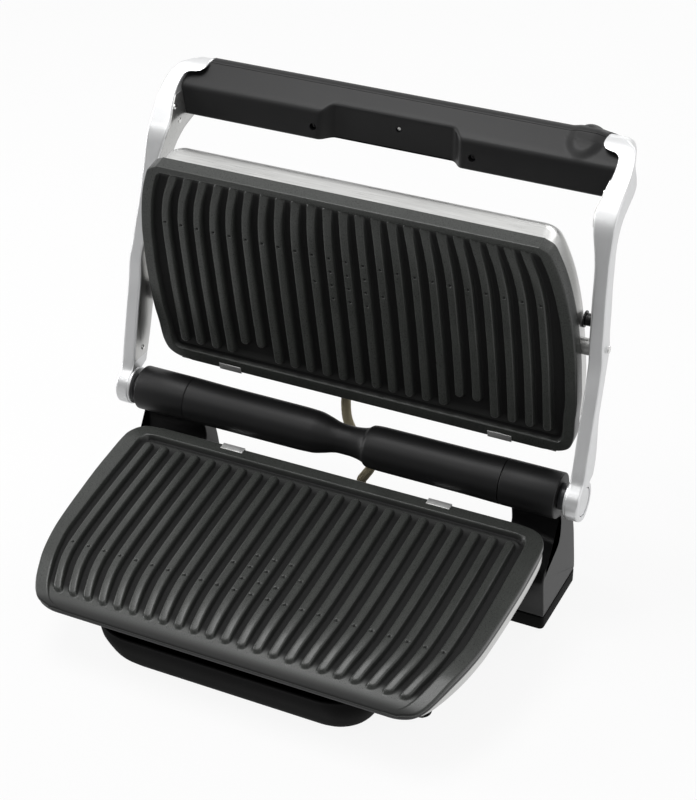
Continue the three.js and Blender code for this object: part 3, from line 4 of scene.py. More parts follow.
import bmesh
import bpy
import numpy as np
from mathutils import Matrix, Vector

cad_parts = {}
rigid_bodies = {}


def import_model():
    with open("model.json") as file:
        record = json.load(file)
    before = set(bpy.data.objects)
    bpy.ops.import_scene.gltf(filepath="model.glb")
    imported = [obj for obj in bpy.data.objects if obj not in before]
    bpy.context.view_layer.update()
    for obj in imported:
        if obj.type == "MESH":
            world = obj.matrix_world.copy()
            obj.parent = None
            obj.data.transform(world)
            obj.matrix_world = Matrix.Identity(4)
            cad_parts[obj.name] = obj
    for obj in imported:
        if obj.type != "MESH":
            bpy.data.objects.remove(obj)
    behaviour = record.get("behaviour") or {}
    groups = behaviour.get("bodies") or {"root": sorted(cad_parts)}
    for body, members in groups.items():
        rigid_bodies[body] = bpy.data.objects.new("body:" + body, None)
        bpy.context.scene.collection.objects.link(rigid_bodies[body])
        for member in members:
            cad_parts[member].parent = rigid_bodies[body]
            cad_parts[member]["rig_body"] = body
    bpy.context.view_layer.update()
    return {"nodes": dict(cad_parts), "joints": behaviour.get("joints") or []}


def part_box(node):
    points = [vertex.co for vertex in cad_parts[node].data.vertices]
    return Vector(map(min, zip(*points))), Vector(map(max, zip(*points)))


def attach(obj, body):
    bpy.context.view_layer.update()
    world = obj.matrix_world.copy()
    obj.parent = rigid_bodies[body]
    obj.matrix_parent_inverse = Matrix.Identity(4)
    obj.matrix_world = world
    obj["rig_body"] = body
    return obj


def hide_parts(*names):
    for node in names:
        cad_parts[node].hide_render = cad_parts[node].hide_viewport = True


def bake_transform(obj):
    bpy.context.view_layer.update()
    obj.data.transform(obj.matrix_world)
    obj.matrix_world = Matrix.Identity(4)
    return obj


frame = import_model()
NODES = frame["nodes"]
JOINTS = {j["name"]: j for j in frame["joints"]}

# Outlines below are in millimetres, with the hinge line at HINGE; the record's frame is in metres
MM = 0.001
HINGE = (43.0, 128.0)
SHIFT = JOINTS["lid_hinge"]["pos_m"][1] / MM - HINGE[0]
PIVOT = (JOINTS["grill_pivot"]["pos_m"][1] / MM - SHIFT, JOINTS["grill_pivot"]["pos_m"][2] / MM)


def world(p):
    """A point in millimetres, put into the record's frame."""
    return (p[0] * MM, (p[1] + SHIFT) * MM, p[2] * MM)


def added(name, data):
    obj = bpy.data.objects.new(name, data)
    bpy.context.scene.collection.objects.link(obj)
    return obj


# ---- camera, at the photograph's angle ----
CAMERA_AT, CAMERA_WAY = (636.8, -1288.9, 1102.7), (-0.3625, 0.7636, -0.534)
camera = added("camera", bpy.data.cameras.new("camera"))
camera.location = world(CAMERA_AT)
camera.rotation_euler = Vector(CAMERA_WAY).to_track_quat("-Z", "Y").to_euler()
camera.data.sensor_fit = "VERTICAL"
camera.data.sensor_height = 36
camera.data.lens = 87.36
camera.data.clip_end = 20
bpy.context.scene.camera = camera


# ---- tables and curves ----
def pchip(table, places):
    """Smooth values of a table of [place, value] pairs, with no overshoot."""
    t = np.array(table, float)
    k, v = t[:, 0], t[:, 1]
    h = np.diff(k)
    m = np.diff(v) / h
    g = np.zeros(len(k))
    g[0], g[-1] = m[0], m[-1]
    for i in range(1, len(k) - 1):
        if m[i - 1] * m[i] > 0:
            w1, w2 = 2 * h[i] + h[i - 1], h[i] + 2 * h[i - 1]
            g[i] = (w1 + w2) / (w1 / m[i - 1] + w2 / m[i])
    x = np.clip(np.asarray(places, float), k[0], k[-1])
    i = np.clip(np.searchsorted(k, x, side="right") - 1, 0, len(k) - 2)
    u = (x - k[i]) / h[i]
    return (
        (1 + 2 * u) * (1 - u) ** 2 * v[i] + u * (1 - u) ** 2 * h[i] * g[i]
        + u * u * (3 - 2 * u) * v[i + 1] + u * u * (u - 1) * h[i] * g[i + 1]
    )


def ease(t):
    t = np.clip(t, 0, 1)
    return t * t * (3 - 2 * t)


def rounded(points, radius, steps=4, soft=40):
    """Each corner of a closed outline becomes an arc; corners under soft degrees are smoothed along their edges."""
    pts = [np.array(p, float) for p in points]
    out = []
    n = len(pts)
    for i, p in enumerate(pts):
        a, b = p - pts[i - 1], pts[(i + 1) % n] - p
        la, lb = np.linalg.norm(a), np.linalg.norm(b)
        a, b = a / la, b / lb
        turn = math.degrees(math.acos(max(-1, min(1, float(a @ b)))))
        reach = min(la, lb) * 0.49
        if turn > soft:
            reach = min(reach, radius * math.tan(math.radians(turn) / 2))
        for k in range(steps + 1):
            t = k / steps
            out.append(p - a * reach * (1 - t) ** 2 + b * reach * t * t)
    return out


def bulge(radius, steps):
    """Inset and setback of the rings that round an edge, from the face to the side."""
    return [
        (radius * (1 - math.sin(math.pi / 2 * k / steps)), radius * (1 - math.cos(math.pi / 2 * k / steps)))
        for k in range(steps + 1)
    ]


# ---- mesh building ----
def mesh_of(name, verts, faces, weld=True, painted_shade=None):
    mesh = bpy.data.meshes.new(name)
    bm = bmesh.new()
    # a per-vertex mark of painted shade, kept on the mesh for the coating's colour
    layer = bm.verts.layers.float.new("painted_shade") if painted_shade is not None else None
    vs = [bm.verts.new(world(v)) for v in verts]
    if layer is not None:
        for v, value in zip(vs, painted_shade):
            v[layer] = float(value)
    for f in faces:
        if len(set(f)) > 2:
            try:
                bm.faces.new([vs[i] for i in dict.fromkeys(f)])
            except ValueError:
                pass  # the same face twice
    if weld:
        bmesh.ops.remove_doubles(bm, verts=bm.verts, dist=2e-6)
    bmesh.ops.recalc_face_normals(bm, faces=bm.faces)
    bm.to_mesh(mesh)
    bm.free()
    return mesh


def piece(name, verts, faces, body, slot, material, smooth=32, replaces=(), painted_shade=None):
    return finish_piece(mesh_of(name, verts, faces, True, painted_shade), name, body, material, smooth, replaces)


def finish_piece(mesh, name, body, material, smooth=32, replaces=()):
    obj = added(name, mesh)
    mesh.shade_smooth()
    mesh.set_sharp_from_angle(angle=math.radians(smooth))
    mesh.materials.clear()
    mesh.materials.append(material)
    if body is not None:
        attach(obj, body)
    if replaces:
        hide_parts(*replaces)
    return obj


def grid(rows, cols):
    """Faces of a sheet of rows of points."""
    return [
        (i * cols + j, i * cols + j + 1, (i + 1) * cols + j + 1, (i + 1) * cols + j)
        for i in range(rows - 1) for j in range(cols - 1)
    ]


def loft(rings, cap_start=True, cap_end=True):
    """Vertices and faces of a skin through rings of equal count."""
    size = len(rings[0])
    verts = [tuple(p) for ring in rings for p in ring]
    sides = [(i, (i + 1) % size) for i in range(size)]
    faces = [
        (r * size + i, r * size + j, (r + 1) * size + j, (r + 1) * size + i)
        for r in range(len(rings) - 1) for i, j in sides
    ]
    if cap_start:
        faces.append(tuple(range(size)))
    if cap_end:
        faces.append(tuple((len(rings) - 1) * size + i for i in range(size)))
    return verts, faces


def outline_inset(points, distance):
    """Points of a dense closed outline moved inwards along their normals."""
    p = np.array(points, float)
    t = np.roll(p, -1, 0) - np.roll(p, 1, 0)
    t /= np.maximum(np.linalg.norm(t, axis=1, keepdims=True), 1e-9)
    area = np.sum(p[:, 0] * np.roll(p[:, 1], -1) - np.roll(p[:, 0], -1) * p[:, 1])
    n = np.stack([-t[:, 1], t[:, 0]], 1) * (1 if area > 0 else -1)
    return p + n * distance


def bar(points, low, high, radius, place, steps=3):
    """An outline extruded from low to high with rounded edges; place(c, a, b) puts a point in the model."""
    rings = []
    for inset, back in [(radius * 1.6, 0)] + bulge(radius, steps):
        rings.append([place(low + back, a, b) for a, b in outline_inset(points, inset)])
    for inset, back in bulge(radius, steps)[::-1] + [(radius * 1.6, 0)]:
        rings.append([place(high - back, a, b) for a, b in outline_inset(points, inset)])
    return loft(rings)


# Where a point goes that lies c along an axis
ALONG = {"x": lambda c, a, b: (c, a, b), "y": lambda c, a, b: (a, c, b), "z": lambda c, a, b: (a, b, c)}


def turned(profile, centre, axis="x", steps=64):
    """A body turned about an axis; the profile runs [radius, along]."""
    place = ALONG[axis]
    rings = []
    for r, c in profile:
        ring = []
        for k in range(steps):
            turn = 2 * math.pi * k / steps
            ring.append(place(c, centre[0] + r * math.cos(turn), centre[1] + r * math.sin(turn)))
        rings.append(ring)
    return loft(rings)


def disc(radius, low, high, edge, centre, axis="x", steps=48):
    """A round pin or cap with rounded rims."""
    start = max(radius - edge - 0.3, 0.01)
    rim = bulge(edge, 3)
    near, far = [(radius - i, low + b) for i, b in rim], [(radius - i, high - b) for i, b in rim[::-1]]
    return turned([(start, low), *near, *far, (start, high)], centre, axis, steps)


def mirror(data):
    verts, faces = data
    return [(-x, y, z) for x, y, z in verts], [tuple(reversed(f)) for f in faces]


def pair(name, data, body, slot, look, smooth=32, node_name=None):
    """A piece of the right side and its mirror image on the left; {} in a name stands for the side."""
    return [
        piece(name.format(side), *one, body, slot, look, smooth, [node_name.format(side)] if node_name else ())
        for side, one in (("right", data), ("left", mirror(data)))
    ]


def merged(*parts):
    verts, faces = [], []
    for v, f in parts:
        base = len(verts)
        verts += list(v)
        faces += [tuple(i + base for i in one) for one in f]
    return verts, faces


def carve(obj, cutters):
    """Cuts closed bodies out of a piece."""
    for verts, faces in cutters:
        tool = added("cutter", mesh_of("cutter", verts, faces, False))
        mod = obj.modifiers.new("cut", "BOOLEAN")
        mod.operation, mod.solver, mod.object = "DIFFERENCE", "EXACT", tool
        bpy.context.view_layer.update()
        graph = bpy.context.evaluated_depsgraph_get()
        old, obj.data = obj.data, bpy.data.meshes.new_from_object(obj.evaluated_get(graph))
        obj.modifiers.clear()
        bpy.data.meshes.remove(old)
        bpy.data.objects.remove(tool)
    obj.data.set_sharp_from_angle(angle=math.radians(32))


# ---- materials ----
GRAIN_DEPTH, LINE_DEPTH = 0.0002, 0.0001
SWEEP = 30.0  # scale of the slow drift of tone over a moulding


def material(name):
    mat = bpy.data.materials.new(name)
    mat.use_nodes = True
    tree = mat.node_tree
    return mat, tree, tree.nodes["Principled BSDF"]


def settle(n, **values):
    """Numbers and colours put on a node's own sockets, or else on its settings; _ stands for a space."""
    for key, value in values.items():
        if key.replace("_", " ") in n.inputs:
            n.inputs[key.replace("_", " ")].default_value = value
        else:
            setattr(n, key, value)
    return n


def node(tree, kind, **values):
    return settle(tree.nodes.new(kind), **values)


def join(source, socket):
    """Links a socket to a source, or sets it to a number."""
    if isinstance(source, (int, float)):
        socket.default_value = source
    else:
        socket.id_data.links.new(source, socket)


def noise(tree, scale, detail=3.0, stretch=(1, 1, 1), rough=0.5):
    coords = node(tree, "ShaderNodeTexCoord")
    mapping = node(tree, "ShaderNodeMapping", Scale=[scale * s for s in stretch])
    join(coords.outputs["Object"], mapping.inputs["Vector"])
    n = node(tree, "ShaderNodeTexNoise", Scale=1.0, Detail=detail, Roughness=rough)
    join(mapping.outputs["Vector"], n.inputs["Vector"])
    return n.outputs["Fac"]


def between(tree, share, low, high):
    """A level that is low where the share is 0 and high where it is 1; each is a source or a number."""
    mix = node(tree, "ShaderNodeMix", data_type="FLOAT")
    for source, k in ((share, 0), (low, 2), (high, 3)):
        join(source, mix.inputs[k])
    return mix.outputs[0]


def total(tree, operation, *sources):
    """A clamped sum."""
    n = node(tree, "ShaderNodeMath", operation=operation, use_clamp=True)
    for source, socket in zip(sources, n.inputs):
        join(source, socket)
    return n.outputs[0]


def ramp(tree, source, low, high, start=0.3, end=0.7):
    """A colour that goes from low to high as the source goes from start to end."""
    n = node(tree, "ShaderNodeValToRGB")
    for element, place, colour in zip(n.color_ramp.elements, (start, end), (low, high)):
        element.position = place
        element.color = (*colour, 1)
    join(source, n.inputs["Fac"])
    return n.outputs["Color"]


def spread(tree, source, low, high, start=0.3, end=0.7, kind="LINEAR"):
    """A level that goes from low to high as the source goes from start to end."""
    n = node(tree, "ShaderNodeMapRange", From_Min=start, From_Max=end, To_Min=low, To_Max=high)
    n.interpolation_type = kind
    join(source, n.inputs["Value"])
    return n.outputs["Result"]


def bump(tree, shader, source, strength, distance):
    n = node(tree, "ShaderNodeBump", Strength=strength, Distance=distance)
    join(source, n.inputs["Height"])
    join(n.outputs["Normal"], shader.inputs["Normal"])


def textured(tree, shader, fine, slow, share, low, high, rough, strength, depth):
    """Tone, roughness and relief of a fine pattern over a slow drift; gives the tone and the roughness back."""
    tone = ramp(tree, between(tree, share, fine, slow), low, high)
    dull = spread(tree, fine, *rough)
    join(tone, shader.inputs["Base Color"])
    join(dull, shader.inputs["Roughness"])
    bump(tree, shader, fine, strength, depth)
    return tone, dull


def grained(name, low, high, rough, scale, strength, metallic=0.0, specular=0.5):
    """A finish with a fine grain."""
    mat, tree, shader = material(name)
    fine, slow = noise(tree, scale, 2.0), noise(tree, SWEEP)
    textured(tree, shader, fine, slow, 0.3, low, high, rough, strength, GRAIN_DEPTH)
    settle(shader, Metallic=metallic, Specular_IOR_Level=specular)
    return mat


def coated(name, low, high, deep, rough, scale, strength, specular, duller=0.45):
    """A grained coating with painted shade: its colour goes towards a dark painted shade, and its roughness rises,
    where the mesh's mark is high, in the hollows.
    """
    mat, tree, shader = material(name)
    fine, slow = noise(tree, scale, 2.0), noise(tree, SWEEP)
    tone, dull = textured(tree, shader, fine, slow, 0.3, low, high, rough, strength, GRAIN_DEPTH)
    # painted shade: the mesh's mark mixes the colour towards the deep colour, a painted shade
    mark = node(tree, "ShaderNodeAttribute", attribute_name="painted_shade")
    shade = node(tree, "ShaderNodeMix", data_type="RGBA")
    shade.inputs[7].default_value = (*deep, 1)
    join(mark.outputs["Fac"], shade.inputs[0])
    join(tone, shade.inputs[6])
    join(shade.outputs[2], shader.inputs["Base Color"])
    join(total(tree, "MULTIPLY_ADD", mark.outputs["Fac"], duller, dull), shader.inputs["Roughness"])
    settle(shader, Specular_IOR_Level=specular)
    return mat


def brushed(name, low, high, rough, stretch, scale=1400.0, strength=0.12):
    """Sheet metal with fine lines along the axis whose stretch is small."""
    mat, tree, shader = material(name)
    lines, slow = noise(tree, scale, 4.0, stretch, 0.6), noise(tree, 14.0, 2.0)
    textured(tree, shader, lines, slow, 0.35, low, high, rough, strength, LINE_DEPTH)
    settle(shader, Metallic=1.0)
    return mat


def grey(low, high):
    """Two greys."""
    return (low,) * 3, (high,) * 3


ALONG_X, ALONG_Z = (0.02, 1, 1), (1, 1, 0.02)
# The third colour is a painted shade, laid where the mesh's mark is high: the hollows between the ribs, the lower
# plate's drip slope and each pit
nonstick = coated(
    "nonstick_coat_and_painted_shade", (0.026, 0.028, 0.0262), (0.058, 0.061, 0.057), (0.0016,) * 3, (0.25, 0.36), 1300.0, 0.3, 0.36,
)
black = grained("black_moulding", (0.004, 0.004, 0.0042), (0.009, 0.009, 0.0094), (0.38, 0.5), 3200.0, 0.14, 0.0, 0.27)
bezel_look = grained("dark_bezel", (0.02, 0.02, 0.021), (0.032, 0.032, 0.033), (0.34, 0.44), 3200.0, 0.12, 0.0, 0.4)
satin = grained("satin_silver", (0.68, 0.685, 0.69), (0.76, 0.765, 0.77), (0.3, 0.38), 4200.0, 0.05, 0.7)
steel_x = brushed("brushed_cover", (0.48, 0.48, 0.47), (0.7, 0.7, 0.69), (0.26, 0.42), ALONG_X)
steel_z = brushed("brushed_strip", (0.42, 0.42, 0.41), (0.62, 0.62, 0.61), (0.26, 0.4), ALONG_Z)
bright = brushed("bright_steel", (0.62, 0.62, 0.61), (0.78, 0.78, 0.77), (0.2, 0.32), (1, 0.4, 0.4), 900.0, 0.05)
pin_grey = grained("satin_pin", (0.4, 0.4, 0.39), (0.5, 0.5, 0.49), (0.36, 0.46), 3000.0, 0.06, 0.6)
clip_look = grained("clip_steel", (0.6, 0.6, 0.6), (0.72, 0.72, 0.71), (0.34, 0.44), 2500.0, 0.05, 0.6)
pin_black = brushed("black_steel", *grey(0.03, 0.06), (0.3, 0.42), (1, 0.3, 0.3), 900.0, 0.06)
dark_steel = brushed(
    "heat_tinted_steel", (0.12, 0.11, 0.1), (0.24, 0.21, 0.18), (0.35, 0.5), (1, 0.3, 0.3), 700.0, 0.1,
)
rubber = grained("black_rubber", *grey(0.003, 0.007), (0.66, 0.8), 1800.0, 0.2, 0.0, 0.08)
tray_look = grained(
    "tray_moulding", (0.0022, 0.0022, 0.0023), (0.0045, 0.0045, 0.0046), (0.6, 0.72), 2600.0, 0.16, 0.0, 0.05,
)
key_look = grained("dark_key", (0.02, 0.02, 0.022), (0.034, 0.034, 0.037), (0.3, 0.4), 3000.0, 0.06)
lens_look = grained("diffuser", (0.26, 0.29, 0.33), (0.36, 0.39, 0.43), (0.12, 0.2), 900.0, 0.03)
board_look = grained("circuit_board", (0.02, 0.09, 0.04), (0.03, 0.13, 0.06), (0.35, 0.45), 900.0, 0.1)
# What a piece takes as its slot and its look
MOULDED, SILVER, BRIGHT = ("black_moulding", black), ("satin_silver", satin), ("bright_pin", bright)
SHEET_X, SHEET_Z = ("brushed_steel", steel_x), ("brushed_steel", steel_z)


# ---- frames of the two grills ----
# x is across, s runs from the hinge end of the ribs to the front, d away from the food
TILT, LEAN = math.radians(8), math.radians(11.5)
LOWER_TOP = 99.2
UPPER_SETBACK, UPPER_RISE = 31.7, 40.6


def lower(x, s, d):
    return (
        x,
        -s * math.cos(TILT) + d * math.sin(TILT),
        LOWER_TOP - s * math.sin(TILT) - d * math.cos(TILT),
    )


def upper(x, s, d):
    return (
        x,
        HINGE[0] + UPPER_SETBACK - s * math.sin(LEAN) + d * math.cos(LEAN),
        HINGE[1] + UPPER_RISE + s * math.cos(LEAN) + d * math.sin(LEAN),
    )


# Outlines as [share of the half width, share of the reach], splay as [share of the rib length, share of the span]
LOWER_EDGE = [
    (0.8468, -0.1122), (0.9229, -0.1021), (0.9753, -0.0649), (0.9962, -0.0143), (1, 0.0573), (1, 0.1909),
    (0.9914, 0.3962), (0.9767, 0.5967), (0.9548, 0.7208), (0.9229, 0.8353), (0.8849, 0.9327), (0.8468, 0.9776),
    (0.785, 0.9986),
]
UPPER_EDGE = [
    (0.8451, -0.1179), (0.9202, -0.1061), (0.9695, -0.0658), (0.9859, 0), (0.9906, 0.087), (1, 0.1966), (1, 0.344),
    (0.9873, 0.5897), (0.9671, 0.7371), (0.946, 0.8354), (0.9136, 0.9337), (0.892, 0.978), (0.852, 0.9995),
]
LOWER_SPLAY = [
    (-0.1247, 1.0022), (0, 1), (0.2597, 1), (0.5195, 0.9956), (0.7418, 0.9823), (0.8831, 0.9547), (1, 0.9145),
    (1.1169, 0.8664),
]
UPPER_SPLAY = [
    (-0.1279, 0.9978), (0, 1), (0.3198, 1.0011), (0.533, 0.9956), (0.7596, 0.9835), (0.8955, 0.9577), (1, 0.9176),
    (1.1194, 0.8736),
]
# How the lower plate's rim, floor and rib tops bend down: [share of the reach, share of the drop]
RIM_BEND = [
    (-0.2, 0), (0.6, 0), (0.716, 0.004), (0.79, 0.05), (0.835, 0.18), (0.907, 0.467), (0.955, 0.74), (1, 1),
    (1.05, 1.3),
]
FLOOR_BEND = [
    (-0.2, 0), (0.6, 0), (0.716, 0.01), (0.835, 0.25), (0.917, 0.56), (0.96, 0.72), (0.985, 0.88), (1, 1.04),
    (1.05, 1.5),
]
TIP_BEND = [(-0.2, 0), (0.66, 0), (0.78, 0.015), (0.883, 0.2), (0.945, 0.52), (1, 1), (1.05, 1.45)]

LOWER_SIZES = dict(
    half=210.2, reach=209.2, back=23.5, span=181.2, ribs=192.5, tip=193.2, edge=LOWER_EDGE, splay=LOWER_SPLAY,
    place=lower, drop=12.2, floor_drop=7.5, tip_drop=6.4, front_rim=0, corner=13, skirt=6.0, side_rim=0,
)
UPPER_SIZES = dict(
    half=210.0, reach=203.5, back=24.0, span=182.0, ribs=187.6, tip=194.6, edge=UPPER_EDGE, splay=UPPER_SPLAY,
    place=upper, drop=0, floor_drop=0, tip_drop=3.0, front_rim=6, corner=5, skirt=15.0, side_rim=10.0,
)
RIM_DEPTH, RIB_HEIGHT = 0.8, 5.5


def width_at(plate, s):
    table = [(b * plate["reach"], a * plate["half"]) for a, b in plate["edge"]]
    return pchip(table, s)


def bend(table, plate, s):
    return pchip(table, np.asarray(s) / plate["reach"])


# Share of the depth by distance inside the recess: at the rear a drip groove, at the sides a wall; and across a rib
REAR_GROOVE = [
    (0, 0), (0.5, 0.06), (1.1, 0.4), (1.8, 1.0), (2.3, 1.14), (4.6, 1.16), (5.2, 1.1), (6.0, 0.78), (6.6, 0.7),
    (8.5, 0.72),
]
SIDE_WALL = [(0, 0), (0.5, 0.06), (1.1, 0.32), (1.9, 0.8), (2.6, 0.98), (3.2, 1.0), (40, 1.0)]
RIB_PROFILE = [
    (0, 0), (1.4, 0.004), (2.4, 0.016), (3.0, 0.05), (3.45, 0.12), (3.8, 0.24), (4.1, 0.42), (4.4, 0.64), (4.7, 0.82),
    (5.05, 0.93), (5.5, 0.985), (6.1, 1.0), (20, 1.0),
]
RIB_OFFSETS = [0.7] + [r for r, _ in RIB_PROFILE[1:-1]]
EDGE_STEPS = [0, 0.12, 0.4, 0.9, 1.6, 2.4, 3.4, 4.6, 6, 7.6]
HALF_COUNT = 11  # ribs on each side of the middle one
REAR_RIM, EDGE_RADIUS, BORDER, WALL_END = 12.0, 1.1, 2.6, 4.6
RIB_START, RIB_TIP, RIB_REACH = 3.4, 3.6, 8.2
# The third and fourth numbers are how much painted shade a pit and the lower plate's drip slope get
PIT_RADIUS, PIT_DEPTH, PIT_PAINTED_SHADE, SLOPE_PAINTED_SHADE = 1.6, 1.7, 0.9, 0.88
# The third number is how far below the rib crests the painted shade of the hollows begins; the fourth, the radius of a
# pit's painted shade
LEAST_STEP, LEAST_DEPTH, PAINTED_SHADE_START, PIT_CORE = 0.1, 0.7, 1.2, 1.2
GROOVE_END, GROOVE_FADE, CORNER_FADE = 7.0, 9.0, 14.0
WALL_BEYOND_RIBS, LEAST_BEYOND_RIBS, LEAST_RIM = 13.5, 8, 12  # the recess wall from the last rib and from the edge


def plate_rows(plate, dimple_rows, short_end):
    """Places along s where the surface needs a row of points."""
    back, reach, ribs = plate["back"], plate["reach"], plate["ribs"]
    rear_edge = REAR_RIM - back
    places = [v - back for v in EDGE_STEPS + [9.4, 11]]
    places += list(rear_edge + np.array([0, 0.5, 1.1, 1.8, 2.3, 3.4, 4.6, 5.2, 6.0, 6.6, 8.0]))
    places += list(np.arange(-2.5, 6, 0.7)) + [8, 11, short_end - 6, short_end - 4.5]
    places += list(short_end + np.arange(-3.2, 3.4, 0.8)) + [short_end + 6, 30] + list(range(40, 125, 12))
    places += [130, 136, 147, 150] + list(range(154, 179, 4)) + [181]
    places += list(ribs - np.arange(8, -5, -0.7)) + [ribs + 6]
    if plate["front_rim"]:
        places += list(reach - plate["front_rim"] - np.array([0, 0.5, 1.1, 1.9, 2.6, 3.2, 4.4]))
    places += [reach - v for v in EDGE_STEPS]
    for row, _ in dimple_rows:
        places += [row + v for v in (-2.0, -1.6, -1.3, -0.95, -0.5, 0, 0.5, 0.95, 1.3, 1.6, 2.0)]
    kept = []
    for s in np.unique(np.round(np.array(places), 3)):
        if not kept or s - kept[-1] > LEAST_STEP:
            kept.append(s)
    s = np.array(kept)
    s = s[(s >= -back) & (s <= reach)]
    s[-1] = reach
    return s


def ribbed_plate(name, plate, body, dimple_rows, short_ribs, short_end, node_name):
    """Top surface and skirts of a ribbed plate, on columns that follow the splayed ribs."""
    back, reach, ribs = plate["back"], plate["reach"], plate["ribs"]
    rear_edge = REAR_RIM - back
    front_edge = reach - plate["front_rim"] if plate["front_rim"] else None
    s = plate_rows(plate, dimple_rows, short_end)
    w = width_at(plate, s)
    slope = np.gradient(w, s)
    span = plate["span"] * pchip(plate["splay"], s / ribs)
    rim = RIM_DEPTH + plate["drop"] * bend(RIM_BEND, plate, s)
    floor = RIB_HEIGHT + plate["floor_drop"] * bend(FLOOR_BEND, plate, s)
    rim = np.minimum(rim, floor - LEAST_DEPTH)
    top = plate["tip_drop"] * pchip(TIP_BEND, s / ribs)
    side = np.minimum(span + WALL_BEYOND_RIBS, w - LEAST_RIM)
    if plate["side_rim"]:
        side = np.maximum(span + LEAST_BEYOND_RIBS, w - plate["side_rim"])
    # columns of the left half, from the edge over the rim and the wall to the ribs
    outer = [-(w - v) for v in (0, 0.12, 0.4, 0.9, 1.6, BORDER)]
    outer += [-(w - BORDER + (side - w + BORDER) * v) for v in (0.3, 0.6, 0.85)]
    outer += [-(side - v) for v in (0, 0.5, 1.1, 1.9, 2.6, 3.2, WALL_END)]
    squeeze = np.minimum(1, (side - WALL_END) / (span + 6.3))
    inner = []
    for k in range(-HALF_COUNT, HALF_COUNT + 1):
        for offset in [-v for v in RIB_OFFSETS[::-1]] + [0] + RIB_OFFSETS:
            inner.append((k / HALF_COUNT * span + offset) * squeeze)
        if k < HALF_COUNT:
            inner.append((k + 0.5) / HALF_COUNT * span * squeeze)
    x = np.array(outer + inner + [-c for c in outer[::-1]]).T
    # distance inside the recess edge, with round corners
    radius = plate["corner"]

    def corner(e1, e2):
        a, b = np.maximum(radius - e1, 0), np.maximum(radius - e2, 0)
        both = (a > 0) & (b > 0)
        return np.where(both, radius - np.hypot(a, b), np.minimum(e1, e2))

    from_side = side[:, None] - np.abs(x)
    from_rear = np.broadcast_to((s - rear_edge)[:, None], x.shape)
    inside = corner(from_side, from_rear)
    near_rear = 1 - ease((from_rear - GROOVE_END) / GROOVE_FADE)
    near_rear *= 1 - ease((from_rear - from_side) / CORNER_FADE)
    wall = pchip(SIDE_WALL, np.clip(inside, 0, 39))
    groove = pchip(REAR_GROOVE, np.clip(inside, 0, 8.4))
    share = wall * (1 - near_rear) + groove * near_rear
    if front_edge:
        from_front = np.broadcast_to((front_edge - s)[:, None], x.shape)
        share = np.minimum(share, pchip(SIDE_WALL, np.clip(corner(from_side, from_front), 0, 39)))
    base = rim[:, None] + (floor - rim)[:, None] * share
    crest = np.minimum(top[:, None], base)
    # ribs as long rounded bars
    d = base.copy()
    end = plate["tip"] - RIB_TIP
    for k in range(-HALF_COUNT, HALF_COUNT + 1):
        off = x - (k / HALF_COUNT * span * squeeze)[:, None]
        first = RIB_START + (short_end if k in short_ribs else 0)
        beyond = np.maximum(first - s, 0) + np.maximum(s - end, 0)
        rise = pchip(RIB_PROFILE, np.clip(np.hypot(off, beyond[:, None]), 0, 19))
        d = np.where(np.abs(off) < RIB_REACH, np.minimum(d, crest + (base - crest) * rise), d)
    # dimples pressed into the surface, each with painted shade in its core
    pit_shade = np.zeros_like(d)
    for row, which in dimple_rows:
        for k in which:
            centre = np.interp(row, s, k / HALF_COUNT * span * squeeze)
            r = np.hypot(x - centre, s[:, None] - row)
            d = d + np.where(r < PIT_RADIUS, PIT_DEPTH * (1 - (r / PIT_RADIUS) ** 2), 0)
            pit_shade = np.where(r < PIT_CORE, PIT_PAINTED_SHADE, pit_shade)
    # painted shade: a mark that darkens the hollows between the ribs, the drip slope and each pit, where shade falls
    deep = crest + PAINTED_SHADE_START
    painted_shade = np.clip((d - deep) / np.maximum(floor[:, None] - deep, 1.0), 0, 1)
    if not front_edge:
        on_slope = ease((s[:, None] - ribs - 3) / (reach - ribs - 5))
        painted_shade = painted_shade * (1 - ease((s[:, None] - ribs + 8) / 9.0)) + SLOPE_PAINTED_SHADE * on_slope
    painted_shade = np.maximum(painted_shade, pit_shade)
    # rounded outer edge
    out = (w[:, None] - np.abs(x)) / np.sqrt(1 + slope[:, None] ** 2)
    out = np.minimum(np.minimum(out, (s + back)[:, None]), (reach - s)[:, None])
    arc = np.sqrt(np.maximum(EDGE_RADIUS ** 2 - (EDGE_RADIUS - np.clip(out, 0, EDGE_RADIUS)) ** 2, 0))
    d = d + np.where(out < EDGE_RADIUS, EDGE_RADIUS - arc, 0)
    rows, cols = x.shape
    verts = [plate["place"](x[i, j], s[i], d[i, j]) for i in range(rows) for j in range(cols)]
    faces = grid(rows, cols)
    # skirt around the border
    border = [(0, j) for j in range(cols)] + [(i, cols - 1) for i in range(1, rows)]
    border += [(rows - 1, j) for j in range(cols - 2, -1, -1)] + [(i, 0) for i in range(rows - 2, 0, -1)]
    foot = 0 * s + plate["skirt"]
    if plate["drop"]:
        foot += RIM_DEPTH + (plate["drop"] - 3.6) * bend(RIM_BEND, plate, s)
    previous = [i * cols + j for i, j in border]
    for part in (0.35, 0.8, 1.0):
        narrow = 1 - (0.25 / plate["half"] if part == 1.0 else 0)
        ring = list(range(len(verts), len(verts) + len(border)))
        verts += [plate["place"](x[i, j] * narrow, s[i], d[i, j] + (foot[i] - d[i, j]) * part) for i, j in border]
        n = len(border)
        faces += [(previous[a], previous[(a + 1) % n], ring[(a + 1) % n], ring[a]) for a in range(n)]
        previous = ring
    # the painted shade mark goes onto the mesh; the skirt gets none
    shade_marks = list(painted_shade.flatten())
    shade_marks += [0.0] * (len(verts) - len(shade_marks))
    piece(name, verts, faces, body, "nonstick_plate", nonstick, 50, [node_name], shade_marks)


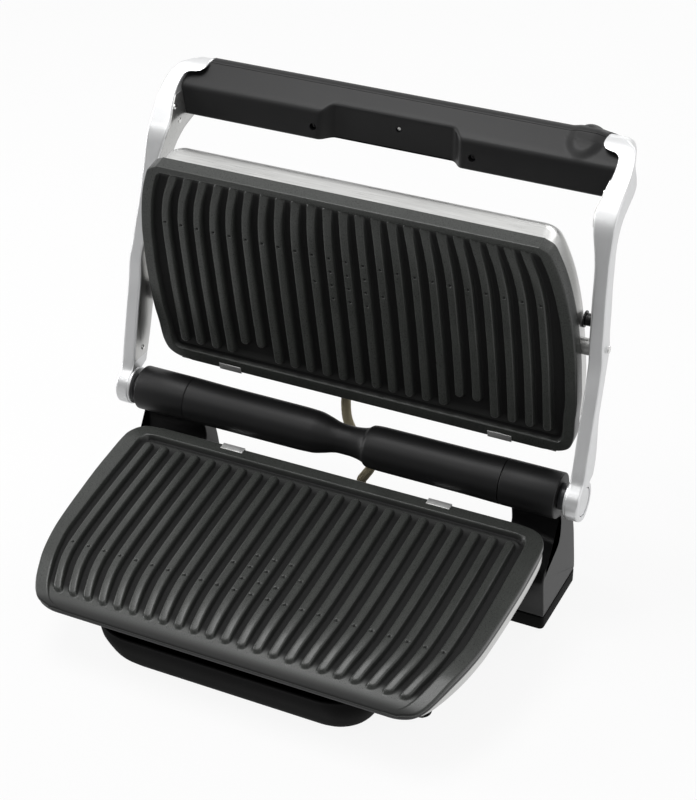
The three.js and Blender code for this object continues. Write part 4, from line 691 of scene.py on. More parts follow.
MIDDLE, FIVE, EVERY = range(-1, 2), range(-2, 3), range(-HALF_COUNT, HALF_COUNT + 1)
SHORT_RIBS, SHORT_END = [-7, -6, 6, 7], 15
ribbed_plate(
    "lower_plate_casting", LOWER_SIZES, "base",
    [(142.8, EVERY), (128.0, MIDDLE), (113.2, FIVE), (98.4, MIDDLE)], [], SHORT_END, "lower_plate",
)
ribbed_plate(
    "upper_plate_casting", UPPER_SIZES, "upper_grill",
    [(142.5, EVERY), (127.5, MIDDLE), (112.5, FIVE), (97.5, MIDDLE)], SHORT_RIBS, SHORT_END, "upper_plate",
)


# ---- plan outlines of the grills ----
def plan(plate, inset, front=None):
    """Dense closed outline [x, s], brought in from all sides, at the front by its own amount."""
    right = [(a * plate["half"], b * plate["reach"]) for a, b in plate["edge"]]
    left = [(-a, b) for a, b in right[::-1]]
    dense = np.array(rounded(right + left, 30, 5, 60))
    across = 1 - inset / plate["half"]
    front = inset if front is None else front
    ahead = 1 - (inset + front) / (plate["reach"] + plate["back"])
    return [(x * across, inset - plate["back"] + (s + plate["back"]) * ahead) for x, s in dense]


def rim_under(s):
    """Depth of the lower plate's foot, which the bezel and the pan follow."""
    return 6.8 + 8.6 * bend(RIM_BEND, LOWER_SIZES, s)


def bezel_level(shift):
    return lambda s: rim_under(s) + 0.9 + shift


def pan_level(depth):
    return lambda s: np.maximum(depth, rim_under(s) + 4.7)


def plan_skin(plate, levels, cap_start=False, cap_end=True):
    """A skin through outlines at [inset, depth, front inset]."""
    rings = []
    for inset, depth, *front in levels:
        ring = plan(plate, inset, *front)
        rings.append([plate["place"](x, s, float(depth(s) if callable(depth) else depth)) for x, s in ring])
    return loft(rings, cap_start, cap_end)


BEZEL = [(9, 0), (1.6, 0), (0.9, 0.12), (0.5, 0.55), (0.4, 1.2), (0.4, 2.9), (0.6, 3.5), (1.2, 3.8), (9, 3.8), (9, 0)]
PAN = [
    (4, 0, 7), (0.7, 0, 5.5), (0.4, 14.8, 5.5), (0.7, 19, 6), (1.6, 23, 7), (2.8, 25.5, 8.5), (4.6, 27, 10),
    (8, 28.2, 14), (20, 29.4, 24), (34, 30.0, 36),
]
SHELL = [
    (5, 15.4), (3.6, 15.4), (3.3, 15.8), (3.35, 19.5), (3.4, 24.5), (3.6, 30), (4.0, 36), (6.2, 41.6), (8.2, 44),
    (10.2, 45.8), (12.6, 47.1), (15.5, 47.8), (19, 48), (24, 48),
]
piece(
    "bezel_ring", *plan_skin(LOWER_SIZES, [(inset, bezel_level(z)) for inset, z in BEZEL], False, False),
    "base", "black_moulding", bezel_look, 40, ["lower_bezel"],
)
pan = [(inset, pan_level(depth), front) for inset, depth, front in PAN] + [(36, 30.2, 38), (40, 30.2, 42)]
piece("lower_cover_pan", *plan_skin(LOWER_SIZES, pan), "base", *SHEET_X, 40, ["lower_housing"])
piece(
    "upper_cover_shell", *plan_skin(UPPER_SIZES, SHELL),
    "upper_grill", *SHEET_X, 40, ["upper_housing"],
)

# ---- arms ----
# Outlines as [share of the arm's height behind the hinge, share above it], and as [share of the span, share above it]
ARM_FRONT = [
    (-0.0345, 0.0517), (-0.0207, 0.0672), (-0.0114, 0.0886), (0.0052, 0.1555), (0.0224, 0.2214), (0.0393, 0.2866),
    (0.0572, 0.351), (0.0703, 0.4183), (0.0866, 0.4838), (0.1024, 0.549), (0.12, 0.6131), (0.1359, 0.6766),
    (0.1559, 0.7517), (0.171, 0.8034), (0.1897, 0.8414), (0.2217, 0.8793), (0.2697, 0.9259), (0.3128, 0.9586),
    (0.3476, 0.9807), (0.3793, 0.9952), (0.395, 1.0),
]
ARM_REAR = [
    (0.4138, 1), (0.4362, 0.9938), (0.4552, 0.9759), (0.4638, 0.9448), (0.4614, 0.8897), (0.4431, 0.8517),
    (0.4103, 0.8345), (0.3597, 0.8207), (0.3076, 0.7983), (0.2707, 0.7569), (0.2517, 0.7138), (0.2362, 0.6552),
    (0.1862, 0.4448), (0.1055, 0.1514), (0.0876, 0.1034), (0.0707, 0.0586),
]
ARM_OUT = [
    (1, -0.0793), (1, 0.4207), (0.9909, 0.4838), (0.9844, 0.549), (0.9766, 0.6131), (0.9715, 0.6766), (0.9667, 0.7414),
    (0.9658, 0.8172), (0.968, 0.8828), (0.9719, 0.9379), (0.9667, 0.9655), (0.9472, 0.9897), (0.9083, 1.0007),
]
ARM_IN = [
    (0.9438, -0.0793), (0.9438, 0.4207), (0.9347, 0.4838), (0.9282, 0.5483), (0.9204, 0.6138), (0.9126, 0.6966),
    (0.9018, 0.7483), (0.8867, 0.8), (0.8763, 0.8503), (0.891, 0.9034), (0.901, 0.9483), (0.8975, 0.969),
    (0.878, 0.9793), (0.8391, 0.9828), (0.8231, 0.9917), (0.8231, 1.0007),
]
ARM_HEIGHT, ARM_SPAN, HUB, EDGE = 290.0, 231.2, 18.5, 1.9
LEAN_LOW, LEAN_HIGH = (4.2, 22, 50), (8.5, 235, 30)  # how far the rear corner moves in: by, from height, over height


def table_by_z(shares, scale, offset):
    return sorted((z * ARM_HEIGHT + HINGE[1], a * scale + offset) for a, z in shares)


FRONT_Z = table_by_z(ARM_FRONT, ARM_HEIGHT, HINGE[0])
REAR_Z = table_by_z(ARM_REAR, ARM_HEIGHT, HINGE[0])
OUT_Z = table_by_z(ARM_OUT, ARM_SPAN, 0)
IN_Z = table_by_z(ARM_IN, ARM_SPAN, 0)


def arm_section(z):
    """Front, rear, inner and outer side of the arm at a height."""
    hub_z = min(max(z - HINGE[1], -HUB), HUB)
    circle = math.sqrt(HUB ** 2 - hub_z ** 2)
    front = float(pchip(FRONT_Z, z)) if z > HINGE[1] + 15 else None
    rear = float(pchip(REAR_Z, z)) if z > HINGE[1] + 17 else None
    if front is None or (z < HINGE[1] + HUB and HINGE[0] - circle < front):
        front = HINGE[0] - circle
    if rear is None or (z < HINGE[1] + HUB and HINGE[0] + circle > rear):
        rear = HINGE[0] + circle
    return front, rear, float(pchip(IN_Z, z)), float(pchip(OUT_Z, z))


def inner_side(z):
    return arm_section(z)[2]


def rounded_section(front, rear, inner, outer, z, cut, steps=5):
    front, rear, inner, outer = front + cut, rear - cut, inner + cut, outer - cut
    lean = sum(by * float(ease((z - HINGE[1] - start) / over)) for by, start, over in (LEAN_LOW, LEAN_HIGH))
    r = max(min(EDGE, 0.48 * (rear - front), 0.48 * (outer - inner)), 0.05)
    ring = []
    for cx, cy, start in (
        (outer - r, rear - r, 0), (inner + r, rear - r, 90), (inner + r, front + r, 180), (outer - r, front + r, 270),
    ):
        for k in range(steps + 1):
            turn = math.radians(start + 90 * k / steps)
            px, py = cx + r * math.cos(turn), cy + r * math.sin(turn)
            inwards = lean * max(0.0, (py - front) / (rear - front)) * max(0.0, (px - inner) / (outer - inner))
            ring.append((px - inwards, py, z))
    # more points along the long sides
    dense = []
    for i, point in enumerate(ring):
        a, b = np.array(point), np.array(ring[(i + 1) % len(ring)])
        dense.append(point)
        if (i + 1) % (steps + 1) == 0:
            dense += [tuple(a + (b - a) * t) for t in (0.06, 0.5, 0.94)]
    return dense


bottom, crest = HINGE[1] - HUB, HINGE[1] + 1.0007 * ARM_HEIGHT
rises = [0.02, 0.15, 0.4, 0.8, 1.3, 2, 2.8, 3.8, 5, 6.5, 8.2, 10.2, 12.5, *range(15, 37, 3)]
levels = [bottom + v for v in rises]
levels += list(np.arange(bottom + 40, crest - 62, 4.0)) + list(np.arange(crest - 60, crest - 12, 1.6))
levels += list(np.arange(crest - 11, crest - 2, 0.5)) + [crest - v for v in (1.9, 1.5, 1.1, 0.8, 0.5, 0.3, 0.12, 0.0)]
rings = []
for z in levels:
    shrink = EDGE - math.sqrt(max(EDGE ** 2 - (EDGE - min(crest - z, EDGE)) ** 2, 0))
    rings.append(rounded_section(*arm_section(z), z, shrink))
SEAT_RADIUS, SEAT_X = 13.6, 229.4
seat = disc(SEAT_RADIUS, SEAT_X, 240, 0.05, HINGE)
arms = pair("{}_arm_cover", loft(rings), "lid_frame", *SILVER, 34, "{}_arm")
for arm, cutter in zip(arms, (seat, mirror(seat))):
    carve(arm, [cutter])
pair("{}_arm_boss", disc(HUB - 0.6, 216.6, 220, 1.2, HINGE), "lid_frame", *SILVER)
cap = [
    (0.01, 230.6), (5.5, 230.6), (6.2, 230.75), (11.8, 230.9), (12.6, 230.75), (13.0, 230.2), (13.0, SEAT_X),
    (0.01, SEAT_X),
]
pair("{}_hub_disc", turned(cap, HINGE), "lid_frame", *SILVER, 40, "{}_hub_cap")
plug_at = float(pchip(OUT_Z, PIVOT[1]))
plug = disc(3.4, plug_at - 1, plug_at + 0.35, 0.25, (PIVOT[0] + 2.5, PIVOT[1]))
pair("{}_pivot_plug", plug, "lid_frame", "satin_silver", bright)

# Brushed strips and rivets on the arms' inner faces
STRIP_STEPS = [(2.0, 1.2), (2.1, 0.1), (2.5, 0), (0, 0), (-2.5, 0), (-2.1, 0.1), (-2.0, 1.2)]
RIVETS = [(0.05, 0.118), (0.265, 0.845), (0.255, 0.893)]


def strip_sheet(low, high, count, proud, slant):
    """A thin sheet on an arm's inner side; its lower end is cut at a slant."""
    verts = []
    for t in np.linspace(0, 1, count):
        for step, dx in STRIP_STEPS:
            z = low + (high - low) * t
            front, rear, _, _ = arm_section(z)
            y = (front + rear) / 2 if step == 0 else (front + step if step > 0 else rear + step)
            z += slant * (1 - t) * (y - front) / (rear - front)
            verts.append((inner_side(z) - proud + dx, y, z))
    n = len(STRIP_STEPS)
    return verts, grid(count, n) + [tuple(range(n)), tuple((count - 1) * n + j for j in range(n))]


strip = strip_sheet(HINGE[1] + 26, HINGE[1] + 253, 90, 0.22, 0)
pair("{}_strip", strip, "lid_frame", *SHEET_Z, 40, "{}_arm_strip")
lap = strip_sheet(HINGE[1] + 236, HINGE[1] + 268, 24, 0.6, 12)
pair("{}_strip_lap", lap, "lid_frame", *SHEET_Z, 40)
for k, (y, z) in enumerate(RIVETS):
    y, z = HINGE[0] + y * ARM_HEIGHT, HINGE[1] + z * ARM_HEIGHT
    profile = [(0.01, -1.6), (1.0, -1.55), (1.9, -1.3), (2.5, -0.85), (2.6, -0.4), (2.6, 0.3), (0.01, 0.3)]
    profile = [(r, inner_side(z) + c) for r, c in profile]
    pair(f"{{}}_rivet_{k}", turned(profile, (y, z), "x", 24), "lid_frame", *BRIGHT)

# ---- handle ----
HANDLE_SIDE = [
    (0.0596, 0), (0.0132, 0.0323), (0, 0.0876), (0.0508, 0.4101), (0.0795, 0.5714), (0.1126, 0.6359), (0.1921, 0.6959),
    (0.457, 0.8525), (0.6556, 0.9677), (0.755, 1), (0.8653, 0.9931), (0.9558, 0.9309), (1, 0.8134), (1, 0.3871),
    (0.9536, 0.2765), (0.8322, 0.2166), (0.2583, 0.0645),
]
HANDLE_FRONT, HANDLE_BOTTOM, HANDLE_DEPTH, HANDLE_HEIGHT, HANDLE_HALF = 131.3, 374.2, 45.3, 43.4, 208.0
GRIP_HALF, GRIP_SLOPE, GRIP_FACE, GRIP_OUT = 56.0, 21.0, 144.0, 124.0
GRIP_SOFT = 4.0
BUMP_AT, BUMP_RISE, BUMP_FLAT, BUMP_FALL, BUMP_TOP = (173.0, 404.0), 3.2, 7, 11, 419.45
BUMP_REAR, BUMP_LOW, BUMP_OUT, BUMP_UP = 154.0, 394, 0.75, 0.55
SEAM, SEAM_HALF, SEAM_FLOOR, SEAM_DEPTH, SEAM_SHARE, SEAM_LEVEL = 161.0, 0.5, 0.35, 1.3, 0.8, 395
KEY_Z, KEYS = 400.2, {"power": -140, "frozen_food": -100, "program": -60, "confirm": 60}


def densified(points, step):
    out = []
    for i, p in enumerate(points):
        q = points[(i + 1) % len(points)]
        count = max(1, int(math.ceil(np.linalg.norm(q - p) / step)))
        out += [p + (q - p) * k / count for k in range(count)]
    return out


def seamed(points):
    """The outline with a fine groove where the two shells of the handle meet."""
    out = []
    for i, p in enumerate(points):
        q = points[(i + 1) % len(points)]
        out.append(p)
        if (p[0] - SEAM) * (q[0] - SEAM) < 0:
            inward = -SEAM_SHARE if p[1] > SEAM_LEVEL else SEAM_SHARE
            way = 1 if q[0] > p[0] else -1
            z = p[1] + (q[1] - p[1]) * (SEAM - p[0]) / (q[0] - p[0])
            groove = ((-SEAM_HALF, 0), (-SEAM_FLOOR, SEAM_DEPTH), (SEAM_FLOOR, SEAM_DEPTH), (SEAM_HALF, 0))
            out += [np.array((SEAM + way * a, z + inward * b)) for a, b in groove]
    return out


side_outline = [(HANDLE_FRONT + y * HANDLE_DEPTH, HANDLE_BOTTOM + z * HANDLE_HEIGHT) for y, z in HANDLE_SIDE]
side_outline = densified(rounded(side_outline, 2.5, 5, 70), 1.3)
side_outline = seamed([p for p in side_outline if abs(p[0] - SEAM) > SEAM_HALF])


def soft_max(a, b, k):
    h = max(0.0, 1 - abs(a - b) / k)
    return max(a, b) + h * h * k / 4


def handle_point(x, y, z):
    """A handle point with the grip recess pressed into the front and the indicator's round bump raised from it."""
    t = (abs(x) - GRIP_HALF) / GRIP_SLOPE
    wall = GRIP_FACE - (GRIP_FACE - GRIP_OUT) * float(ease(t))
    if y < wall + GRIP_SOFT:
        y = soft_max(y, wall, GRIP_SOFT)
    off = math.hypot(x - BUMP_AT[0], min(0.0, y - BUMP_REAR))
    if off < BUMP_FLAT + BUMP_FALL and z > BUMP_LOW:
        rise = BUMP_RISE * (1 - float(ease((off - BUMP_FLAT) / BUMP_FALL))) * float(ease((z - BUMP_LOW) / 9))
        y -= BUMP_OUT * rise * (1 - float(ease((y - 150) / 14)))
        z = min(z + BUMP_UP * rise, BUMP_TOP)
    return x, y, z


stations = sorted(set(
    [round(float(v), 2) for v in np.linspace(-1, 1, 41)]
    + [round(float(s * v / HANDLE_HALF), 4) for s in (-1, 1) for v in np.arange(48, 88, 1.5)]
    + [round(float(v / HANDLE_HALF), 4) for v in np.arange(152, 194, 0.8)]
    + [s * v for s in (-1, 1) for v in (0.985, 0.993, 0.998)]
))
reaches = [min(float(pchip(IN_Z, min(z, 415.0))), HANDLE_HALF) - 0.35 for _, z in side_outline]
rings = [[handle_point(t * reach, y, z) for reach, (y, z) in zip(reaches, side_outline)] for t in stations]
handle = piece("handle_body", *loft(rings), "lid_frame", *MOULDED, 44, ["handle_shell", "handle_cover"])
profile = [
    (0.01, 166), (14.0, 166), (15.3, 168), (15.45, 172.5), (15.2, 174.6), (14.2, 176.0), (12.6, 176.6), (11.4, 176.6),
    (11.2, 175.9), (0.01, 175.9),
]
piece("indicator_bump", *turned(profile, BUMP_AT, "y", 72), "lid_frame", *MOULDED, 40)

# Wells for screws and keys, and the screws: x, z and y of the face, radius of the well and the head, how deep it sits
SCREWS = {
    "left": (-73.2, 386.3, 131.9, 3.3, 2.7, 3.2, pin_black),
    "right": (79.2, 386.3, 131.9, 3.3, 2.7, 3.2, pin_black),
    "middle": (5.1, 394.3, 144.0, 2.6, 1.9, 0, bright),
}
SCREW_HEAD = [(0, 2.4), (0.35, 2.4), (0.4, 1.7), (0.8, 1.5), (1, 2.0), (1, 4), (0, 4)]
wells = [disc(well, 120, face + 7, 0.05, (x, z), "y", 32) for x, z, face, well, *_ in SCREWS.values()]
wells += [disc(6.35, 162.5, 182, 0.05, (x, KEY_Z), "y", 32) for x in KEYS.values()]
carve(handle, wells)
for name, (x, z, face, _, head, sunk, look) in SCREWS.items():
    profile = [(max(head * share, 0.01), face + c + sunk) for share, c in SCREW_HEAD]
    data = turned(profile, (x, z), "y", 28)
    piece(f"handle_screw_head_{name}", *data, "lid_frame", "bright_pin", look, 40, [f"handle_screw_{name}"])

# ---- hinge tube, towers, bushes ----
TUBE_HALF, TUBE_RADIUS, TOWER_END, TOWER_EDGE = 157.5, 21, 210, 1.6
TUBE = [  # [share of the half length, share of the radius]
    (-1, 1), (-0.7619, 0.9714), (-0.2857, 0.9619), (-0.1778, 0.9333), (-0.1016, 0.8095), (-0.0508, 0.7),
    (-0.0127, 0.6571), (0.0508, 0.6571), (0.1016, 0.6952), (0.146, 0.781), (0.1746, 0.9238), (0.254, 0.9619),
    (0.7619, 0.9714), (1, 1),
]
tube_table = [(x * TUBE_HALF, r * TUBE_RADIUS) for x, r in TUBE]
xs = np.concatenate([np.linspace(-157.3, -32, 40), np.linspace(-31, 42, 60), np.linspace(43, 157.3, 40)])
profile = [(20.2, -TUBE_HALF)] + [(float(pchip(tube_table, x)), float(x)) for x in xs] + [(20.2, TUBE_HALF)]
piece("hinge_tube_body", *turned(profile, HINGE, "x", 96), "base", *MOULDED, 40, ["hinge_tube"])
# Side outlines of a tower, as shares of the hinge height: [behind the hinge, above the floor]
TOWER_OUT = [
    (-0.0273, 0.8438), (0.0117, 0.7969), (0.025, 0.7422), (0.0234, 0.6406), (0, 0.5898), (-0.0781, 0.5586),
    (-0.1875, 0.5312), (-0.2539, 0.4961), (-0.2734, 0.4453), (-0.2578, 0.3281), (-0.2281, 0.1641), (-0.225, 0.1016),
    (0.4258, 0.1016), (0.4141, 0.1875), (0.3359, 0.5664), (0.2344, 0.7812), (0.1328, 0.9219),
]
TOWER_IN = [
    (-0.0156, 0.8438), (0.0859, 0.7969), (0.1328, 0.7344), (0.1562, 0.6562), (0.1719, 0.5703), (0.1406, 0.5156),
    (0.0547, 0.4688), (-0.0547, 0.4219), (-0.1484, 0.375), (-0.2031, 0.3125), (-0.2219, 0.1641), *TOWER_OUT[-6:],
]


def tower_outline(shares):
    return np.array(rounded([(HINGE[0] + y * HINGE[1], z * HINGE[1]) for y, z in shares], 3, 5, 60))


inner_line, outer_line = tower_outline(TOWER_IN), tower_outline(TOWER_OUT)
width = TOWER_END - TUBE_HALF
turn_in = [(b / width, i) for i, b in bulge(TOWER_EDGE, 4)]
spots = [(0.0, TOWER_EDGE + 1), (0.0, TOWER_EDGE)] + turn_in + [(v, 0) for v in np.linspace(0.08, 0.92, 14)]
spots += [(1 - t, i) for t, i in turn_in[::-1]] + [(1.0, TOWER_EDGE), (1.0, TOWER_EDGE + 1)]
rings = []
for t, inset in spots:
    line = inner_line + (outer_line - inner_line) * t
    rings.append([(TUBE_HALF + width * t, y, z) for y, z in outline_inset(line, inset)])
pair("{}_tower_body", loft(rings), "base", *MOULDED, 40, "{}_tower")
barrel = disc(TUBE_RADIUS, TUBE_HALF + 0.1, TOWER_END, 1.4, HINGE, "x", 96)
pair("{}_tower_barrel", barrel, "base", *MOULDED, 40)
pair("{}_bush_ring", disc(12, TOWER_END, 216.2, 0.8, HINGE), "base", "dark_bush", key_look, 40, "{}_bush")
FOOT = [(158, 13.8), (210.4, 13.8), (210.4, 97.8), (158, 97.8)]
pad = bar(rounded(FOOT, 5, 6, 60), 0, 13, 0.7, ALONG["z"])
pair("{}_foot_rubber", pad, "base", "black_rubber", rubber, 40, "{}_foot_pad")


# ---- pieces that keep their solid's shape, with eased edges ----
def eased(node_name, slot, look, width):
    """A copy of a solid with rounded edges, which stands for it."""
    source = NODES[node_name]
    mesh = source.data.copy()
    bm = bmesh.new()
    bm.from_mesh(mesh)
    bmesh.ops.remove_doubles(bm, verts=bm.verts, dist=1e-5)
    bmesh.ops.dissolve_limit(bm, angle_limit=math.radians(1.0), verts=bm.verts, edges=bm.edges)
    sharp = [e for e in bm.edges if len(e.link_faces) == 2 and e.calc_face_angle(0) > math.radians(28)]
    bmesh.ops.bevel(
        bm, geom=sharp, offset=width * MM, segments=3, profile=0.5, affect="EDGES", clamp_overlap=True,
    )
    bmesh.ops.recalc_face_normals(bm, faces=bm.faces)
    bm.to_mesh(mesh)
    bm.free()
    mesh.name = f"{node_name}_body"
    return finish_piece(mesh, mesh.name, source["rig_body"], look, 32, [node_name])


def dress(look, *node_names):
    for name in node_names:
        data = NODES[name].data
        data.materials.clear()
        data.materials.append(look)


# The rails of the base taper towards their noses
TAPER_FROM, TAPER, RAIL_MIDDLE, RAIL_HALF = -122, 0.45, 150, 23
frame_body = eased("base_frame", *MOULDED, 0.8)
for vertex in frame_body.data.vertices:
    x, ahead = vertex.co.x / MM, TAPER_FROM - (vertex.co.y / MM - SHIFT)
    if ahead > 0 and abs(x) > RAIL_MIDDLE:
        vertex.co.x -= math.copysign(TAPER * ahead * (abs(x) - RAIL_MIDDLE) / RAIL_HALF, x) * MM
for name in ("base_cover", "lower_release_button", "upper_release_button"):
    eased(name, *MOULDED, 0.5)
eased("control_board", "green_board", board_look, 0.2)
for side in ("right", "left"):
    eased(f"{side}_front_foot", "black_rubber", rubber, 0.8)

CLIPS = (("lower", lower, "base", 92.7, 115.4, 13.4), ("upper", upper, "upper_grill", 125.0, 148.0, 14.8))
for kind, place, body, inner, outer, leg in CLIPS:
    edge = [(-17.6, 0.35), (-25.0, 0.35), (-25.0, leg), (-24.0, leg), (-24.0, 1.7), (-17.6, 1.7)]
    tab = bar(rounded(edge, 0.5, 3, 60), inner, outer, 0.25, place, 2)
    pair(f"{kind}_clip_{{}}_tab", tab, body, "bright_pin", clip_look, 40, f"{kind}_clip_{{}}")
dress(steel_x, "right_hinge_shaft", "left_hinge_shaft")
for kind in ("lower", "upper"):
    dress(steel_x, f"{kind}_reflector", f"{kind}_probe")
    dress(dark_steel, f"{kind}_element", f"{kind}_release_spring", f"{kind}_probe_spring")

# Pins between the upper grill and the arms
pivot = merged(disc(7.3, 198, 221.4, 0.5, PIVOT), disc(9.5, 196.7, 199, 0.5, PIVOT))
pair("{}_pivot_body", pivot, "upper_grill", "bright_pin", pin_grey, 40, "{}_pivot_pin")
for side in ("right", "left"):
    low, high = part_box(f"{side}_stop_pin")
    centre = ((low.y + high.y) / 2 / MM - SHIFT, (low.z + high.z) / 2 / MM)
    stop = merged(disc(7.5, 205.0, 206.4, 0.4, centre), disc(5.5, 205.4, 219.4, 0.4, centre))
    data = stop if side == "right" else mirror(stop)
    piece(f"{side}_stop_body", *data, "lid_frame", "black_pin", pin_black, 40, [f"{side}_stop_pin"])

# Controls at the handle's rear
profile = [(0.01, 164), (6, 164), (6, 176.9), (5.75, 177.5), (5.2, 177.8), (4.4, 177.75), (0.01, 177.45)]
for name, x in KEYS.items():
    key = turned(profile, (x, KEY_Z), "y", 48)
    piece(f"{name}_key_cap", *key, f"{name}_key", "dark_button", key_look, 40, [f"{name}_button"])
profile = [(0.01, 174.4), (11, 174.4), (11, 176.4), (10.6, 176.85), (9.6, 177.0), (0.01, 177.0)]
window = turned(profile, BUMP_AT, "y", 64)
piece("indicator_window", *window, "lid_frame", "clear_lens", lens_look, 40, ["indicator_lens"])

# ---- drip tray ----
TRAY_HEIGHT, TRAY_HALF, TRAY_FRONT, TRAY_BACK, TRAY_WALL, TRAY_CORNER, REAR_CORNER = 43, 136, 203, 110, 2, 46, 4
TRAY = [  # shares of the height, half width, front and corner radius
    (0, 0.84, 0.9, 0.6), (0.12, 0.9, 0.92, 0.62), (0.4, 0.95, 0.95, 0.7), (0.7, 0.98, 0.98, 0.8), (1, 1, 1, 1),
]


def tray_ring(share, wall, z):
    across, ahead, corner = (float(pchip([(row[0], row[k]) for row in TRAY], share)) for k in (1, 2, 3))
    half, front, back = TRAY_HALF * across - wall, -TRAY_FRONT * ahead + wall, -TRAY_BACK - wall
    r, q = max(corner * TRAY_CORNER - wall, 2), REAR_CORNER
    ring = []
    for cx, cy, start, radius in (
        (half - q, back - q, 0, q), (-half + q, back - q, 90, q),
        (-half + r, front + r, 180, r), (half - r, front + r, 270, r),
    ):
        for k in range(13):
            turn = math.radians(start + 90 * k / 12)
            ring.append((cx + radius * math.cos(turn), cy + radius * math.sin(turn), z))
    return ring


shares = [0, 0.02, 0.05, 0.09, 0.14, 0.2, 0.28, 0.38, 0.5, 0.64, 0.78, 0.9, 0.97]
rings = [tray_ring(0, 6, 0), tray_ring(0, 2, 0)] + [tray_ring(v, 0, v * TRAY_HEIGHT) for v in shares]
rings += [tray_ring(1, wall, z) for wall, z in ((0, 42.3), (0.25, 42.8), (0.9, 43), (1.6, 42.9), (2, 42.4))]
rings += [tray_ring(v, TRAY_WALL, max(v * TRAY_HEIGHT, TRAY_WALL)) for v in shares[::-1]] + [tray_ring(0, 8, TRAY_WALL)]
piece("drip_tray_tub", *loft(rings), "tray", "black_moulding", tray_look, 40, ["drip_tray"])

# ---- braided conduit ----
ROUTE = [  # offsets from the hinge line, from the upper grill down to the base
    (-26, 59.6, 34), (-26, 61.5, 24), (-26, 61, 12), (-25.6, 58, -2), (-22, 55, -18), (-12, 54, -36), (0, 53.5, -52),
    (3, 52, -62), (-1, 50, -70), (-5, 49, -77), (-5, 49, -84),
]
SLEEVE_RADIUS, STRANDS, STRAND_DEPTH, SLEEVE_SIDES = 4.62, 5, 0.16, 40
SPLIT = 44  # row of the sleeve where its two pieces meet
route = [np.array((x, HINGE[0] + y, HINGE[1] + z), float) for x, y, z in ROUTE]
line = []
for i in range(len(route) - 1):
    p0, p1, p2, p3 = route[max(i - 1, 0)], route[i], route[i + 1], route[min(i + 2, len(route) - 1)]
    bow, sway = 2 * p0 - 5 * p1 + 4 * p2 - p3, 3 * p1 - p0 - 3 * p2 + p3
    for t in np.arange(12) / 12:
        line.append(0.5 * (2 * p1 + (p2 - p0) * t + bow * t * t + sway * t ** 3))
line = np.array(line + [route[-1]])
tangent = np.gradient(line, axis=0)
tangent /= np.linalg.norm(tangent, axis=1, keepdims=True)
rings = []
for i, (p, t) in enumerate(zip(line, tangent)):
    u = np.cross(t, (1, 0, 0))
    u /= np.linalg.norm(u)
    v = np.cross(t, u)
    ring = []
    for k in range(SLEEVE_SIDES):
        turn = 2 * math.pi * k / SLEEVE_SIDES
        r = SLEEVE_RADIUS + STRAND_DEPTH * math.sin(STRANDS * turn + i * 1.1) * math.sin(STRANDS * turn - i * 1.1)
        ring.append(tuple(p + u * r * math.cos(turn) + v * r * math.sin(turn)))
    rings.append(ring)
mat, tree, shader = material("braided_sleeve")
strands = node(tree, "ShaderNodeTexWave", Scale=260.0, Distortion=2.5, bands_direction="DIAGONAL")
coords = node(tree, "ShaderNodeTexCoord")
join(coords.outputs["Object"], strands.inputs["Vector"])
weave = between(tree, 0.5, noise(tree, 900.0), strands.outputs["Fac"])
tone = ramp(tree, weave, (0.2, 0.17, 0.1), (0.52, 0.46, 0.32), 0.25, 0.75)
join(tone, shader.inputs["Base Color"])
settle(shader, Roughness=0.85)
bump(tree, shader, weave, 0.6, 0.0006)
# The sleeve crosses two joints, so it is two pieces that meet where only the lid frame moves them
sleeve = piece("conduit_sleeve", *loft(rings[SPLIT:]), None, "braided_sleeve", mat, 50, ["conduit"])
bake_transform(sleeve)
upper_sleeve = piece("conduit_upper_sleeve", *loft(rings[:SPLIT + 1]), None, "braided_sleeve", mat, 50)
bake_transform(upper_sleeve)
dress(rubber, "cord_gland")

# ---- floor, backdrop, light ----
floor_mat, tree, shader = material("pale_floor")
settle(shader, Roughness=0.7, Specular_IOR_Level=0.2)
join(ramp(tree, noise(tree, 6.0, 2.0), *grey(0.84, 0.87)), shader.inputs["Base Color"])


def rays(tree, *kinds):
    """1 for a ray of one of these kinds."""
    path = node(tree, "ShaderNodeLightPath")
    found = path.outputs[kinds[0]]
    for kind in kinds[1:]:
        found = total(tree, "ADD", found, path.outputs[kind])
    return found


def across(tree, source, factors, start, end, low, high):
    """A level that runs along a direction of space, from low at start to high at end."""
    dot = node(tree, "ShaderNodeVectorMath", operation="DOT_PRODUCT")
    dot.inputs[1].default_value = factors
    join(source, dot.inputs[0])
    return spread(tree, dot.outputs["Value"], low, high, start, end, "SMOOTHSTEP")


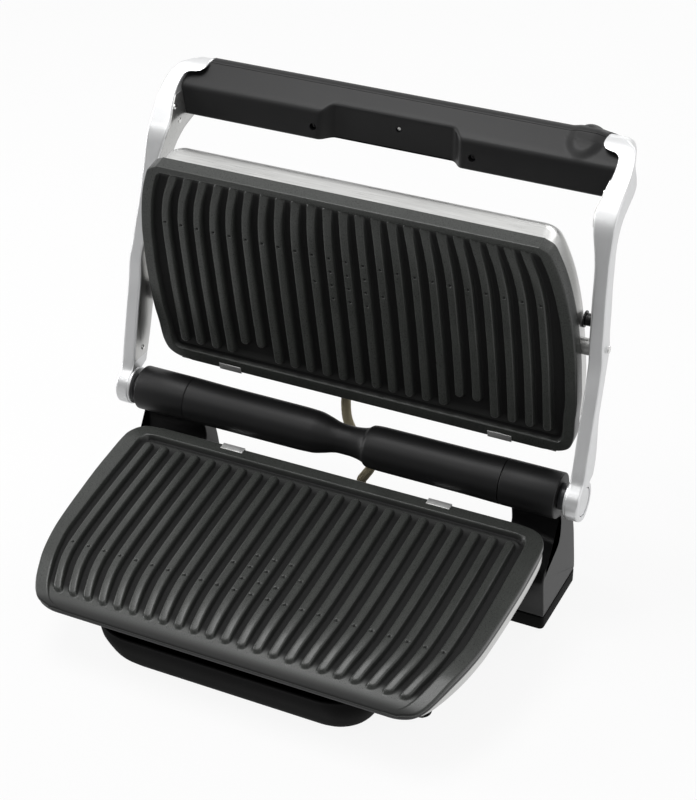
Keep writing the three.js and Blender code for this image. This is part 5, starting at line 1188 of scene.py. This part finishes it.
# The floor is near white to the eye and keeps the shadow; metal sees it paler behind and darker in front
MIRRORED, FLOOR_HALF, FLOOR_Z = ("Is Glossy Ray", "Is Transmission Ray"), 6, -0.0002
place = node(tree, "ShaderNodeNewGeometry").outputs["Position"]
seen_dim = across(tree, place, (0.6, 1.0, 0.0), -0.5, 0.2, 0.42, 0.95)
glow = node(tree, "ShaderNodeEmission")
join(between(tree, rays(tree, "Is Camera Ray"), seen_dim, 1.0), glow.inputs["Strength"])
both = node(tree, "ShaderNodeMixShader")
join(between(tree, rays(tree, "Is Camera Ray", *MIRRORED), 0.0, 0.9), both.inputs[0])
join(shader.outputs[0], both.inputs[1])
join(glow.outputs[0], both.inputs[2])
join(both.outputs[0], tree.nodes["Material Output"].inputs["Surface"])
mesh = bpy.data.meshes.new("floor")
corners = [(a * FLOOR_HALF, b * FLOOR_HALF, FLOOR_Z) for a, b in ((-1, -1), (1, -1), (1, 1), (-1, 1))]
mesh.from_pydata(corners, [], [(0, 1, 2, 3)])
floor_obj = added("floor", mesh)
mesh.materials.append(floor_mat)

studio = bpy.data.worlds.new("studio")
bpy.context.scene.world = studio
studio.use_nodes = True
tree = studio.node_tree
background = tree.nodes["Background"]
settle(background, Color=(1, 1, 1, 1))
way = node(tree, "ShaderNodeTexCoord").outputs["Generated"]
sky = across(tree, way, (0.6, 1.0, 1.2), -0.6, 0.5, 0.22, 0.95)
seen = between(tree, rays(tree, *MIRRORED), 0.3, sky)
join(between(tree, rays(tree, "Is Camera Ray"), seen, 1.0), background.inputs["Strength"])


def lamp(name, place, target, size, power):
    data = bpy.data.lights.new(name, "AREA")
    data.shape = "RECTANGLE"
    data.size, data.size_y = size
    data.energy = power
    obj = added(name, data)
    obj.location = place
    obj.rotation_euler = (Vector(target) - Vector(place)).to_track_quat("-Z", "Y").to_euler()


lamp("top_softbox", (-0.5, -0.1, 2.1), (0, 0, 0.15), (1.1, 0.8), 20)
lamp("left_softbox", (-2.0, -0.4, 0.75), (0, 0, 0.2), (0.8, 1.6), 22)
lamp("rear_softbox", (0.5, 1.9, 1.5), (0, 0, 0.2), (1.6, 0.7), 12)
lamp("front_strip", (-0.75, -1.25, 1.6), (0, 0, 0.15), (0.8, 0.14), 3.2)
lamp("right_fill", (2.0, -0.6, 1.2), (0, 0, 0.2), (1.2, 1.2), 5)

bpy.context.scene.view_settings.view_transform = "Standard"
